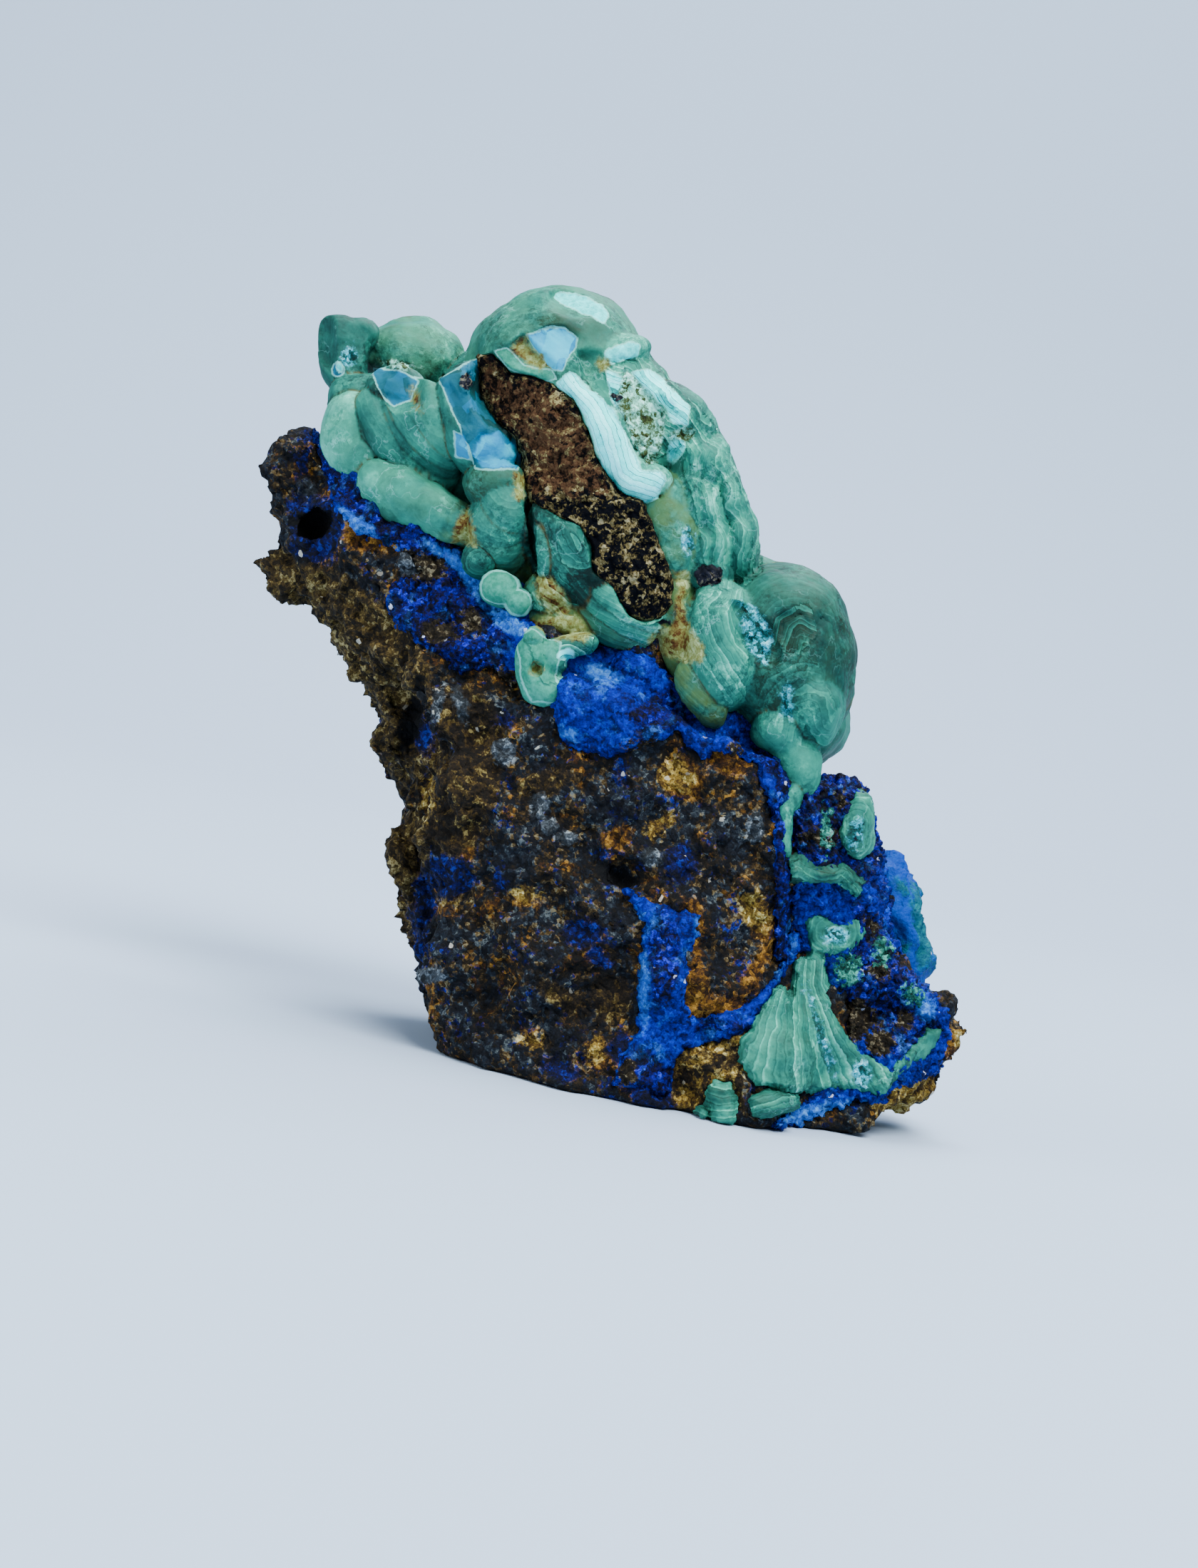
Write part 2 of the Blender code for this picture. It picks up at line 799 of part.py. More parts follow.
def build():
    """Builds every piece of the specimen."""
    for old in list(bpy.data.objects):
        bpy.data.objects.remove(old, do_unlink=True)
    specimen = bpy.data.collections.new("azurite_malachite_specimen")
    cutters = bpy.data.collections.new("cutters")
    bpy.context.scene.collection.children.link(specimen)
    bpy.context.scene.collection.children.link(cutters)

    rock = build_rock(specimen)
    cap = build_malachite_cap(specimen, cutters)
    over_cap = clearance("cap_clearance", [cap], GAP, cutters)
    fan = crust_on(rock, "malachite_fan", FAN, CAP_BUMPS, 3, specimen)
    ridge = crust_on(rock, "malachite_ridge", RIDGE, CAP_BUMPS, 4, specimen)
    drop = crust_on(rock, "malachite_teardrop", TEARDROP, CAP_BUMPS, 5, specimen)
    nodule = crust_on(rock, "malachite_nodule", NODULE, CAP_BUMPS, 6, specimen)
    small = [fan, ridge, drop, nodule]
    for piece in small:
        subtract(piece, over_cap)

    seam = crust_on(rock, "azurite_seam", SEAM, CRUST_BUMPS, 7, specimen)
    patch = crust_on(rock, "azurite_patch", PATCH, CRUST_BUMPS, 8, specimen)
    vein = crust_on(rock, "azurite_vein", VEIN, CRUST_BUMPS, 9, specimen)
    flank = crust_on(rock, "azurite_flank", FLANK, CRUST_BUMPS, 11, specimen)
    slab = grown("azurite_slab", specimen, CRUST_GRID, CRUST_BUMPS, 12, SLAB_LUMPS.values())
    over_small = clearance("small_clearance", small, GAP, cutters)
    laid = [slab]
    for piece in (seam, patch, vein, flank):
        subtract(piece, over_cap)
        subtract(piece, over_small)
        subtract(piece, clearance(piece.name + "_clearance", laid, GAP, cutters))
        keep_largest(piece)
        laid.append(piece)
    subtract(rock, clearance("growth_clearance", [cap, *small, *laid], GAP + GAP_SPARE, cutters))
    pits = bmesh.new()
    for pit in ROCK_PITS.values():
        add_lump(pits, pit)
    subtract(rock, hide_helper(new_object("pit_cutter", pits, cutters)))

    floor = floor_cutter(cutters)
    finish(cap, CAP_GRID, CAP_TRIANGLES, floor, (0.13, 0.42, 0.33), 0.45)
    finish(fan, CRUST_GRID, FAN_TRIANGLES, floor, (0.16, 0.52, 0.42), 0.45)
    for piece in (ridge, drop, nodule):
        finish(piece, CRUST_GRID, SMALL_TRIANGLES, floor, (0.15, 0.50, 0.40), 0.45)
    finish(seam, CRUST_GRID, SEAM_TRIANGLES, floor, (0.01, 0.05, 0.45), 0.40)
    finish(patch, CRUST_GRID, PATCH_TRIANGLES, floor, (0.01, 0.07, 0.50), 0.40)
    finish(vein, CRUST_GRID, VEIN_TRIANGLES, floor, (0.01, 0.06, 0.60), 0.40)
    finish(flank, CRUST_GRID, FLANK_TRIANGLES, floor, (0.01, 0.04, 0.46), 0.40)
    finish(slab, CRUST_GRID, SLAB_TRIANGLES, floor, (0.02, 0.16, 0.55), 0.40)
    finish(rock, ROCK_GRID, ROCK_TRIANGLES, floor, (0.09, 0.055, 0.03), 0.85)
    for cutter in cutters.objects:
        cutter.data.transform(Matrix.Scale(MM, 4))


build()
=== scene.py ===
"""Azurite and malachite specimen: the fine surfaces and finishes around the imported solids.

Everything is laid out in a view frame: a place is a column and a row of the 1680 x 2199 picture and a
depth in millimetres towards the viewer. Shapes are worked out in millimetres and written in metres.
"""

import logging
import math
from collections.abc import Callable
from dataclasses import dataclass, field
from enum import Enum
from typing import ClassVar

import bmesh
import bpy
import numpy as np
import openvdb
from bpy.types import Material, Node, NodeSocket, NodeTree, Object
from mathutils import Matrix, Vector, noise
from mathutils.bvhtree import BVHTree

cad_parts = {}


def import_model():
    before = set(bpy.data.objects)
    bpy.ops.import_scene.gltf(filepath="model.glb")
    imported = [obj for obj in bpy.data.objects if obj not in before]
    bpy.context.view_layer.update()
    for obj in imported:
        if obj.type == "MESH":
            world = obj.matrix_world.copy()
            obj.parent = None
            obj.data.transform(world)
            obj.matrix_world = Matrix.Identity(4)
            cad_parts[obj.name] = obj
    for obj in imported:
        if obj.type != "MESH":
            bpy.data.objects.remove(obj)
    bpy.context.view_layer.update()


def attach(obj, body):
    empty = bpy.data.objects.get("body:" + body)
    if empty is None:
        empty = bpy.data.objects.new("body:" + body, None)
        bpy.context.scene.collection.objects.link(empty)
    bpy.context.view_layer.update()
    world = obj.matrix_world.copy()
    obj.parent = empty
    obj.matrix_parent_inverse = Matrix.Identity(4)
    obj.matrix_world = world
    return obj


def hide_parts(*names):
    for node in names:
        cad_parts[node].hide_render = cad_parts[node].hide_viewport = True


LOG = logging.getLogger("specimen")
MM = 0.001
BODY = "root"
Array = np.ndarray
Span = tuple[float, float]
Place = tuple[float, float, float]
Row = tuple[float, ...]
Scale = tuple[float | str, ...]
Pairs = tuple[Span, ...]

ROCK_PITCH = 0.184
COARSE_PITCH = 0.24
ROCK_BUMPS = ((3.2, 0.70), (1.3, 0.42), (0.7, 0.22))
ROCK_SEED = 10
NEAR = 1.2
FAR_BEHIND = -99.0
FACE_SLACK = 0.4
POINT_SLACK = 0.5
TURNED_AWAY = -0.25
LONGEST_MOVE = 0.06
FACET_MARGIN = 30.0
FACET_SPAN = (-1.2, 2.6)


class Slot(Enum):
    """The record's material slots."""

    ROCK = "limonite_rock"
    MALACHITE = "malachite"
    AZURITE = "azurite"


@dataclass(frozen=True)
class PictureView:
    """The photograph's viewpoint, as it stands in the specimen's own frame."""

    mm_per_pixel: float = 0.0212
    middle: tuple[float, float] = (840.0, 1099.5)
    rows: float = 2199.0
    distance: float = 90.0
    pitch: float = 2.5
    roll: float = 11.5
    origin: tuple[float, float, float] = (0.21, 1.9, -8.56)
    sensor: float = 24.0

    def axes(self) -> Array:
        """The view's right, up and towards-the-viewer directions, as columns."""
        pitch, roll = math.radians(self.pitch), math.radians(self.roll)
        level = np.array((1.0, 0.0, 0.0))
        upright = np.array((0.0, math.sin(pitch), math.cos(pitch)))
        right = math.cos(roll) * level + math.sin(roll) * upright
        up = math.cos(roll) * upright - math.sin(roll) * level
        return np.stack((right, up, np.cross(right, up)), axis=1)

    def place(self, across: Array | float, down: Array | float, depth: Array | float) -> Array:
        """Positions, in millimetres, of points of the view.

        Args:
            across: Column, or columns, of the picture.
            down: Row, or rows.
            depth: Millimetres in front of the view's middle plane.

        Returns:
            The points, as an array whose last axis is x, y, z.
        """
        reach = self.mm_per_pixel * (self.distance - depth) / self.distance
        right = (across - self.middle[0]) * reach
        up = (self.middle[1] - down) * reach
        local = np.stack(np.broadcast_arrays(right, up, depth), axis=-1)
        return local @ self.axes().T - np.array(self.origin)

    def picture(self, points: Array) -> tuple[Array, Array, Array]:
        """Columns, rows and depths of points, the inverse of place."""
        right, up, depth = ((points + np.array(self.origin)) @ self.axes()).T
        reach = self.mm_per_pixel * (self.distance - depth) / self.distance
        return self.middle[0] + right / reach, self.middle[1] - up / reach, depth

    def eye(self) -> Array:
        """Where the viewer is, in millimetres."""
        return self.axes() @ np.array((0.0, 0.0, self.distance)) - np.array(self.origin)

    def lens(self) -> float:
        """Focal length, in millimetres, that shows the picture's rows at their scale."""
        return self.sensor * self.distance / (self.rows * self.mm_per_pixel)


VIEW = PictureView()


class Grain:
    """Smooth and cellular noise for many points at once, the same on every run."""

    TABLE = 4096
    STRIDES = (73856093, 19349663, 83492791)

    def __init__(self, seed: int) -> None:
        """Draws the tables of directions and values for one seed."""
        draws = np.random.default_rng(seed)
        arrows = draws.normal(size=(self.TABLE, 3))
        self.arrows = (arrows / np.linalg.norm(arrows, axis=1, keepdims=True)).astype(np.float32)
        self.values = draws.random((self.TABLE, 4)).astype(np.float32)
        self.shift = draws.random(3) * 100.0

    def _slots(self, cells: Array) -> Array:
        """Places in the tables for whole-number cells."""
        mixed = cells[:, 0] * self.STRIDES[0]
        mixed = mixed ^ (cells[:, 1] * self.STRIDES[1])
        mixed = mixed ^ (cells[:, 2] * self.STRIDES[2])
        return (mixed ^ (mixed >> 13)) & (self.TABLE - 1)

    def smooth(self, points: Array, size: float) -> Array:
        """Smooth noise from about -1 to 1, whose bumps are about SIZE millimetres apart."""
        spots = points / size + self.shift
        base = np.floor(spots).astype(np.int64)
        inner = (spots - base).astype(np.float32)
        ease = inner * inner * inner * (inner * (inner * 6.0 - 15.0) + 10.0)
        total = np.zeros(len(points), np.float32)
        for corner in np.ndindex(2, 2, 2):
            step = np.array(corner)
            arrow = self.arrows[self._slots(base + step)]
            weight = np.where(step == 1, ease, 1.0 - ease).prod(axis=1)
            total += weight * (arrow * (inner - step)).sum(axis=1)
        return total * 1.6

    def fractal(self, points: Array, size: float, octaves: int, gain: float = 0.55) -> Array:
        """Smooth noise with finer and finer detail added."""
        total, strength = np.zeros(len(points), np.float32), 1.0
        for octave in range(octaves):
            total += strength * self.smooth(points + octave * 17.0, size / 2.03**octave)
            strength *= gain
        return total

    def cells(self, points: Array, size: float) -> tuple[Array, Array, Array]:
        """Cells of about SIZE millimetres.

        Returns:
            The distance to the nearest cell point, how much nearer it is than the next one, both as
            shares of the size, and a random value of the nearest cell.
        """
        spots = points / size + self.shift
        base = np.floor(spots).astype(np.int64)
        near = np.full(len(points), 9.0, np.float32)
        after = near.copy()
        value = np.zeros(len(points), np.float32)
        for corner in np.ndindex(3, 3, 3):
            cell = base + np.array(corner) - 1
            found = self.values[self._slots(cell)]
            away = np.linalg.norm(cell + found[:, :3] - spots, axis=1).astype(np.float32)
            closer = away < near
            after = np.where(closer, near, np.minimum(after, away))
            near = np.where(closer, away, near)
            value = np.where(closer, found[:, 3], value)
        return near, after - near, value


@dataclass(frozen=True)
class Lump:
    """A rounded growth: its place in the view, its half sizes along, across and through, and its turn."""

    across: float
    down: float
    depth: float
    half: tuple[float, float, float]
    turn: float = 0.0

    def centre(self) -> Array:
        """Its middle, in millimetres."""
        return VIEW.place(self.across, self.down, self.depth)

    def turned(self) -> Array:
        """Its own axes, as columns."""
        angle = math.radians(self.turn)
        cos, sin = math.cos(angle), math.sin(angle)
        return VIEW.axes() @ np.array(((cos, -sin, 0.0), (sin, cos, 0.0), (0.0, 0.0, 1.0)))

    def span(self) -> Array:
        """Half the sides of the box in which it changes the distances."""
        return np.abs(self.turned() * np.array(self.half)).sum(axis=1) + NEAR

    def distance(self, points: Array) -> Array:
        """About how far points are outside it, in millimetres; negative inside."""
        local = (points - self.centre()) @ self.turned()
        half = np.array(self.half)
        share = np.linalg.norm(local / half, axis=-1)
        slope = np.linalg.norm(local / half**2, axis=-1)
        return share * (share - 1.0) / np.maximum(slope, 1e-6)


@dataclass(frozen=True)
class Lobe(Lump):
    """A malachite lobe, with its colour and its growth lines.

    The tone goes from deep (0) to pale (1), warm adds olive, and the growth lines are rings of the given
    step around a pole on the lobe, each a shallow scale of the given relief.
    """

    tone: float = 0.5
    warm: float = 0.0
    pole: tuple[float, float, float] = (0.0, 0.0, 1.0)
    step: float = 0.45
    relief: float = 0.006
    cluster: str = ""


def lobes(cluster: str, *rows: Row, lines: Row = (0.0, 0.0, 1.0, 0.45, 0.006)) -> tuple[Lobe, ...]:
    """Lobes of one cluster, or single ones if it has no name.

    Args:
        cluster: The name of what the lobes flow together into.
        rows: For each lobe its column, row, depth, three half sizes, turn, tone, warmth, pole, step and
            relief. A row may leave out the last ones.
        lines: The pole, the step and the relief of the rows that leave them out.

    Returns:
        The lobes.
    """
    shared = (0, 0.5, 0.0, *lines)
    whole = [row + shared[len(row) - 6 :] for row in rows]
    return tuple(Lobe(*row[:3], row[3:6], *row[6:9], row[9:12], *row[12:], cluster) for row in whole)


@dataclass(frozen=True)
class Slab:
    """A block of rock: an outline of (column, row, front depth), cut through to a smaller back."""

    outline: tuple[tuple[float, float, float], ...]
    back: float
    back_share: float

    def mesh(self) -> tuple[Array, Array]:
        """Its corners, in millimetres, and its triangles."""
        outline = np.array(self.outline)
        middle = outline[:, :2].mean(axis=0)
        inner = middle + (outline[:, :2] - middle) * self.back_share
        working = bmesh.new()
        front = [working.verts.new(VIEW.place(*corner)) for corner in outline]
        back = [working.verts.new(VIEW.place(*corner, self.back)) for corner in inner]
        faces = [working.faces.new(front), working.faces.new(reversed(back))]
        for index, corner in enumerate(front):
            ahead = (index + 1) % len(front)
            faces.append(working.faces.new((corner, back[index], back[ahead], front[ahead])))
        bmesh.ops.triangulate(working, faces=faces)
        bmesh.ops.recalc_face_normals(working, faces=working.faces)
        working.verts.index_update()
        points = np.array([vertex.co for vertex in working.verts], np.float32)
        triangles = [[vertex.index for vertex in face.verts] for face in working.faces]
        working.free()
        return points, np.array(triangles, np.uint32)


def path(*numbers: float) -> Pairs:
    """Corners of an outline or of a guide line, given as column, row, column, row."""
    return tuple(zip(numbers[::2], numbers[1::2]))


def line_distance(line: Pairs, columns: Array, rows: Array) -> Array:
    """Pixels from picture points to the nearest place of a line."""
    best = np.full(columns.shape, 1e9)
    for (x0, y0), (x1, y1) in zip(line, line[1:]):
        run, rise = x1 - x0, y1 - y0
        share = ((columns - x0) * run + (rows - y0) * rise) / (run * run + rise * rise)
        share = np.clip(share, 0.0, 1.0)
        best = np.minimum(best, np.hypot(columns - x0 - share * run, rows - y0 - share * rise))
    return best


def inside_by(outline: Pairs, columns: Array, rows: Array) -> Array:
    """Millimetres that picture points are inside an outline, negative outside."""
    closed = outline + outline[:1]
    best = line_distance(closed, columns, rows)
    within = np.zeros(columns.shape, bool)
    for (x0, y0), (x1, y1) in zip(closed, closed[1:]):
        if y1 != y0:
            crossing = (y0 > rows) != (y1 > rows)
            within ^= crossing & (columns < x0 + (rows - y0) * (x1 - x0) / (y1 - y0))
    return np.where(within, best, -best) * VIEW.mm_per_pixel


def view_box(columns: Span, rows: Span, depths: Span) -> tuple[Array, Array]:
    """The lowest and highest corners, in millimetres, of a box over spans of the view."""
    corners = VIEW.place(*(axis.ravel() for axis in np.meshgrid(columns, rows, depths)))
    return corners.min(axis=0), corners.max(axis=0)


@dataclass(frozen=True)
class Spot:
    """An oval place of the picture: its middle, its half width and half height, and its turn."""

    across: float
    down: float
    wide: float
    high: float
    turn: float = 0.0

    def inside_by(self, columns: Array, rows: Array) -> Array:
        """Millimetres that picture points are inside it, negative outside."""
        angle = math.radians(self.turn)
        right, down = columns - self.across, rows - self.down
        along = right * math.cos(angle) + down * math.sin(angle)
        beside = down * math.cos(angle) - right * math.sin(angle)
        share = np.hypot(along / self.wide, beside / self.high)
        return (1.0 - share) * min(self.wide, self.high) * VIEW.mm_per_pixel


@dataclass
class Skin:
    """A closed surface: points in millimetres, triangles, and named values on the points."""

    points: Array
    faces: Array
    marks: dict[str, Array] = field(default_factory=dict)

    def _flat(self) -> Array:
        """Every triangle's outward direction, as long as twice its area."""
        a, b, c = (self.points[self.faces[:, corner]] for corner in range(3))
        return np.cross(b - a, c - a)

    def normals(self) -> Array:
        """The outward direction at every point."""
        flat = self._flat()
        total = np.zeros_like(self.points)
        for corner in range(3):
            for axis in range(3):
                total[:, axis] += np.bincount(self.faces[:, corner], flat[:, axis], minlength=len(total))
        return total / np.maximum(np.linalg.norm(total, axis=1, keepdims=True), 1e-12)

    def push(self, heights: Array) -> None:
        """Moves every point outwards by its height."""
        self.points = self.points + self.normals() * heights[:, None]

    def facing(self) -> Array:
        """How squarely every point faces the viewer, from -1 to 1."""
        towards = VIEW.eye() - self.points
        towards /= np.linalg.norm(towards, axis=1, keepdims=True)
        return (self.normals() * towards).sum(axis=1)

    def tree(self) -> BVHTree:
        """A search tree of its triangles."""
        return BVHTree.FromPolygons(self.points.tolist(), self.faces.tolist())

    def _clear(self, spots: Array, asked: Array, slack: float, missed: bool) -> Array:
        """Which spots near the skin nothing hides from the viewer.

        Args:
            spots: The spots.
            asked: Which of them to look at; the others aren't seen.
            slack: How far behind the skin a spot may lie.
            missed: What to say where the line of sight misses the skin.

        Returns:
            True for each spot that is seen.
        """
        away = spots - VIEW.eye()
        reach = np.linalg.norm(away, axis=1)
        tree, start = self.tree(), Vector(VIEW.eye())
        seen = asked.copy()
        for index in np.flatnonzero(asked):
            hit = tree.ray_cast(start, Vector(away[index] / reach[index]))[3]
            seen[index] = missed if hit is None else hit > reach[index] - slack
        return seen

    def seen_faces(self) -> Array:
        """Which triangles the viewer sees."""
        centres = self.points[self.faces].mean(axis=1)
        turned = (self._flat() * (centres - VIEW.eye())).sum(axis=1) < 0.0
        return self._clear(centres, turned, FACE_SLACK, False)

    def seen_share(self) -> Array:
        """How surely the viewer sees every point, from 0 to 1."""
        share = self._clear(self.points, self.facing() > TURNED_AWAY, POINT_SLACK, True).astype(float)
        for _ in range(3):
            share = self.averaged(share)
        return share

    def averaged(self, values: Array) -> Array:
        """Every point's value averaged with its neighbours'."""
        total, count = values.astype(float).copy(), np.ones(len(values))
        for first, second in ((0, 1), (1, 2), (2, 0)):
            ends = self.faces[:, [first, second]]
            total += np.bincount(ends[:, 0], values[ends[:, 1]], minlength=len(values))
            count += np.bincount(ends[:, 0], minlength=len(values))
        return total / count

    def refined(self, chosen: Array) -> "Skin":
        """A copy whose chosen faces are cut into four."""
        mesh = bpy.data.meshes.new("refining")
        mesh.from_pydata(self.points, [], self.faces)
        working = bmesh.new()
        working.from_mesh(mesh)
        bpy.data.meshes.remove(mesh)
        working.faces.ensure_lookup_table()
        picked = {edge for index in np.flatnonzero(chosen) for edge in working.faces[index].edges}
        bmesh.ops.subdivide_edges(working, edges=list(picked), cuts=1, use_grid_fill=True)
        bmesh.ops.triangulate(working, faces=working.faces)
        result = Skin.of_bmesh(working)
        working.free()
        return result

    @staticmethod
    def of_bmesh(working: bmesh.types.BMesh) -> "Skin":
        """The points and triangles of a bmesh of triangles."""
        mesh = bpy.data.meshes.new("reading")
        working.to_mesh(mesh)
        points = np.empty(len(mesh.vertices) * 3, np.float32)
        mesh.vertices.foreach_get("co", points)
        corners = np.empty(len(mesh.loops), np.int32)
        mesh.loops.foreach_get("vertex_index", corners)
        bpy.data.meshes.remove(mesh)
        return Skin(points.reshape(-1, 3).astype(np.float64), corners.reshape(-1, 3))

    def stand_flat(self) -> None:
        """Keeps every point on or above the resting plane."""
        self.points[:, 2] = np.maximum(self.points[:, 2], 0.0)

    def to_object(self, name: str, material: Material) -> Object:
        """Makes the scene's object of this surface, in metres, with its finish."""
        mesh = bpy.data.meshes.new(name)
        mesh.from_pydata(self.points * MM, [], self.faces)
        for label, values in self.marks.items():
            mark = mesh.attributes.new(label, "FLOAT", "POINT")
            mark.data.foreach_set("value", np.ascontiguousarray(values, np.float32))
        mesh.materials.append(material)
        mesh.shade_smooth()
        made = bpy.data.objects.new(name, mesh)
        bpy.context.scene.collection.objects.link(made)
        return made


class VoxelField:
    """A grid of signed distances in millimetres, to which shapes are joined and from which they are cut."""

    def __init__(self, low: Array | Place, high: Array | Place, pitch: float) -> None:
        """Makes an empty grid over a box."""
        self.pitch = pitch
        self.first = 2 * np.floor(np.array(low) / (2 * pitch)).astype(int)
        self.last = np.ceil(np.array(high) / pitch).astype(int)
        self.values = np.full(self.last - self.first + 1, NEAR, np.float32)

    def _block(self, low: Array, high: Array) -> tuple[tuple[slice, ...], Array]:
        """The part of the grid over a box, and its points."""
        start = np.maximum(np.floor(low / self.pitch).astype(int), self.first)
        stop = np.minimum(np.ceil(high / self.pitch).astype(int), self.last)
        lines = [np.arange(a, b + 1) * self.pitch for a, b in zip(start, stop)]
        points = np.stack(np.meshgrid(*lines, indexing="ij"), axis=-1)
        return tuple(slice(a - f, b - f + 1) for a, b, f in zip(start, stop, self.first)), points

    def _around(self, lump: Lump) -> tuple[tuple[slice, ...], Array]:
        """The part of the grid that a lump can change, and its distances there."""
        block, points = self._block(lump.centre() - lump.span(), lump.centre() + lump.span())
        return block, lump.distance(points)

    def join_lump(self, lump: Lump) -> None:
        """Adds a lump."""
        block, distances = self._around(lump)
        self.values[block] = np.minimum(self.values[block], distances)

    def join_cluster(self, lumps: list[Lump], blend: float) -> None:
        """Adds lumps that flow into each other over a blending distance."""
        low = np.min([lump.centre() - lump.span() for lump in lumps], axis=0)
        high = np.max([lump.centre() + lump.span() for lump in lumps], axis=0)
        block, points = self._block(low, high)
        total = np.zeros(points.shape[:3])
        for lump in lumps:
            total += np.exp(np.clip(-lump.distance(points) / blend, -60.0, 60.0))
        joined = -blend * np.log(np.maximum(total, 1e-30))
        self.values[block] = np.minimum(self.values[block], joined)

    def cut_lump(self, lump: Lump) -> None:
        """Takes a lump out."""
        block, distances = self._around(lump)
        self.values[block] = np.maximum(self.values[block], -distances)

    def join_mesh(self, points: Array, triangles: Array) -> None:
        """Adds a closed mesh."""
        scale = openvdb.createLinearTransform(voxelSize=self.pitch)
        level = openvdb.FloatGrid.createLevelSetFromPolygons(
            points.astype(np.float32),
            triangles=triangles.astype(np.uint32),
            transform=scale,
            halfWidth=NEAR / self.pitch,
        )
        found = np.empty(self.values.shape, np.float32)
        level.copyToArray(found, ijk=tuple(int(value) for value in self.first))
        self.values = np.minimum(self.values, found)

    def cut_below_floor(self) -> None:
        """Takes away what is under the resting plane."""
        heights = (np.arange(self.first[2], self.last[2] + 1) * self.pitch).astype(np.float32)
        self.values = np.maximum(self.values, -heights[None, None, :])

    def ease(self, rounds: int) -> None:
        """Rounds the grid's sharp corners a little."""
        for _ in range(rounds):
            for axis in range(3):
                along = np.moveaxis(self.values, axis, 0)
                along[1:-1] = 0.5 * along[1:-1] + 0.25 * (along[2:] + along[:-2])

    def cut_over(self, box: tuple[Array, Array], limit: Callable[[Array, Array], Array]) -> None:
        """Takes away what is nearer to the viewer than a limit.

        Args:
            box: The corners of the box to look in.
            limit: Gives the greatest depth left at columns and rows of the picture.
        """
        block, points = self._block(*box)
        columns, rows, depths = VIEW.picture(points.reshape(-1, 3))
        over = 0.7 * (depths - limit(columns, rows)).reshape(points.shape[:3])
        self.values[block] = np.maximum(self.values[block], over)

    def sample(self, points: Array) -> Array:
        """The grid's values at points."""
        spots = points / self.pitch - self.first
        base = np.clip(np.floor(spots).astype(int), 0, np.array(self.values.shape) - 2)
        inner = spots - base
        total = np.zeros(len(points))
        for corner in np.ndindex(2, 2, 2):
            at = base + np.array(corner)
            weight = np.where(np.array(corner) == 1, inner, 1.0 - inner).prod(axis=1)
            total += weight * self.values[at[:, 0], at[:, 1], at[:, 2]]
        return total

    def settle(self, skin: Skin, rounds: int) -> None:
        """Moves a skin's points onto the surface where the distance is nought."""
        half = 0.5 * self.pitch
        for _ in range(rounds):
            slopes = np.empty_like(skin.points)
            for axis in range(3):
                step = np.zeros(3)
                step[axis] = half
                slopes[:, axis] = self.sample(skin.points + step) - self.sample(skin.points - step)
            slopes /= self.pitch
            steep = np.maximum((slopes**2).sum(axis=1), 0.2)
            move = np.clip(self.sample(skin.points) / steep, -LONGEST_MOVE, LONGEST_MOVE)
            skin.points = skin.points - slopes * move[:, None]

    def points(self) -> Array:
        """All the grid's points, in millimetres."""
        lines = [np.arange(a, b + 1) * self.pitch for a, b in zip(self.first, self.last)]
        return np.stack(np.meshgrid(*lines, indexing="ij"), axis=-1).reshape(-1, 3)

    def skin(self, every: int = 1, least: int = 0) -> Skin:
        """The surface where the distance is nought, from every so many grid points."""
        grid = openvdb.FloatGrid(NEAR)
        values = np.ascontiguousarray(self.values[::every, ::every, ::every])
        grid.copyFromArray(values, ijk=tuple(int(value) // every for value in self.first))
        grid.transform = openvdb.createLinearTransform(voxelSize=self.pitch * every)
        points, quads = grid.convertToQuads(0.0)
        quads = quads.astype(np.int32)
        faces = np.concatenate((quads[:, [0, 1, 2]], quads[:, [0, 2, 3]]))
        return largest_bodies(Skin(points.astype(np.float64), faces), least)


def largest_bodies(skin: Skin, least: int = 0) -> Skin:
    """Leaves out loose crumbs.

    Args:
        skin: The skin.
        least: The fewest points a body needs to stay; 0 keeps only the largest one.

    Returns:
        The skin that stays, with its marks.
    """
    labels = np.arange(len(skin.points))
    while True:
        before = labels.copy()
        lowest = labels[skin.faces].min(axis=1)
        for corner in range(3):
            np.minimum.at(labels, skin.faces[:, corner], lowest)
        labels = labels[labels]
        if (labels == before).all():
            break
    sizes = np.bincount(labels, minlength=len(labels))
    kept = sizes[labels] >= (least or sizes.max())
    new_index = np.cumsum(kept) - 1
    faces = new_index[skin.faces[kept[skin.faces[:, 0]]]]
    left = Skin(skin.points[kept], faces.astype(np.int32))
    left.marks = {name: values[kept] for name, values in skin.marks.items()}
    return left


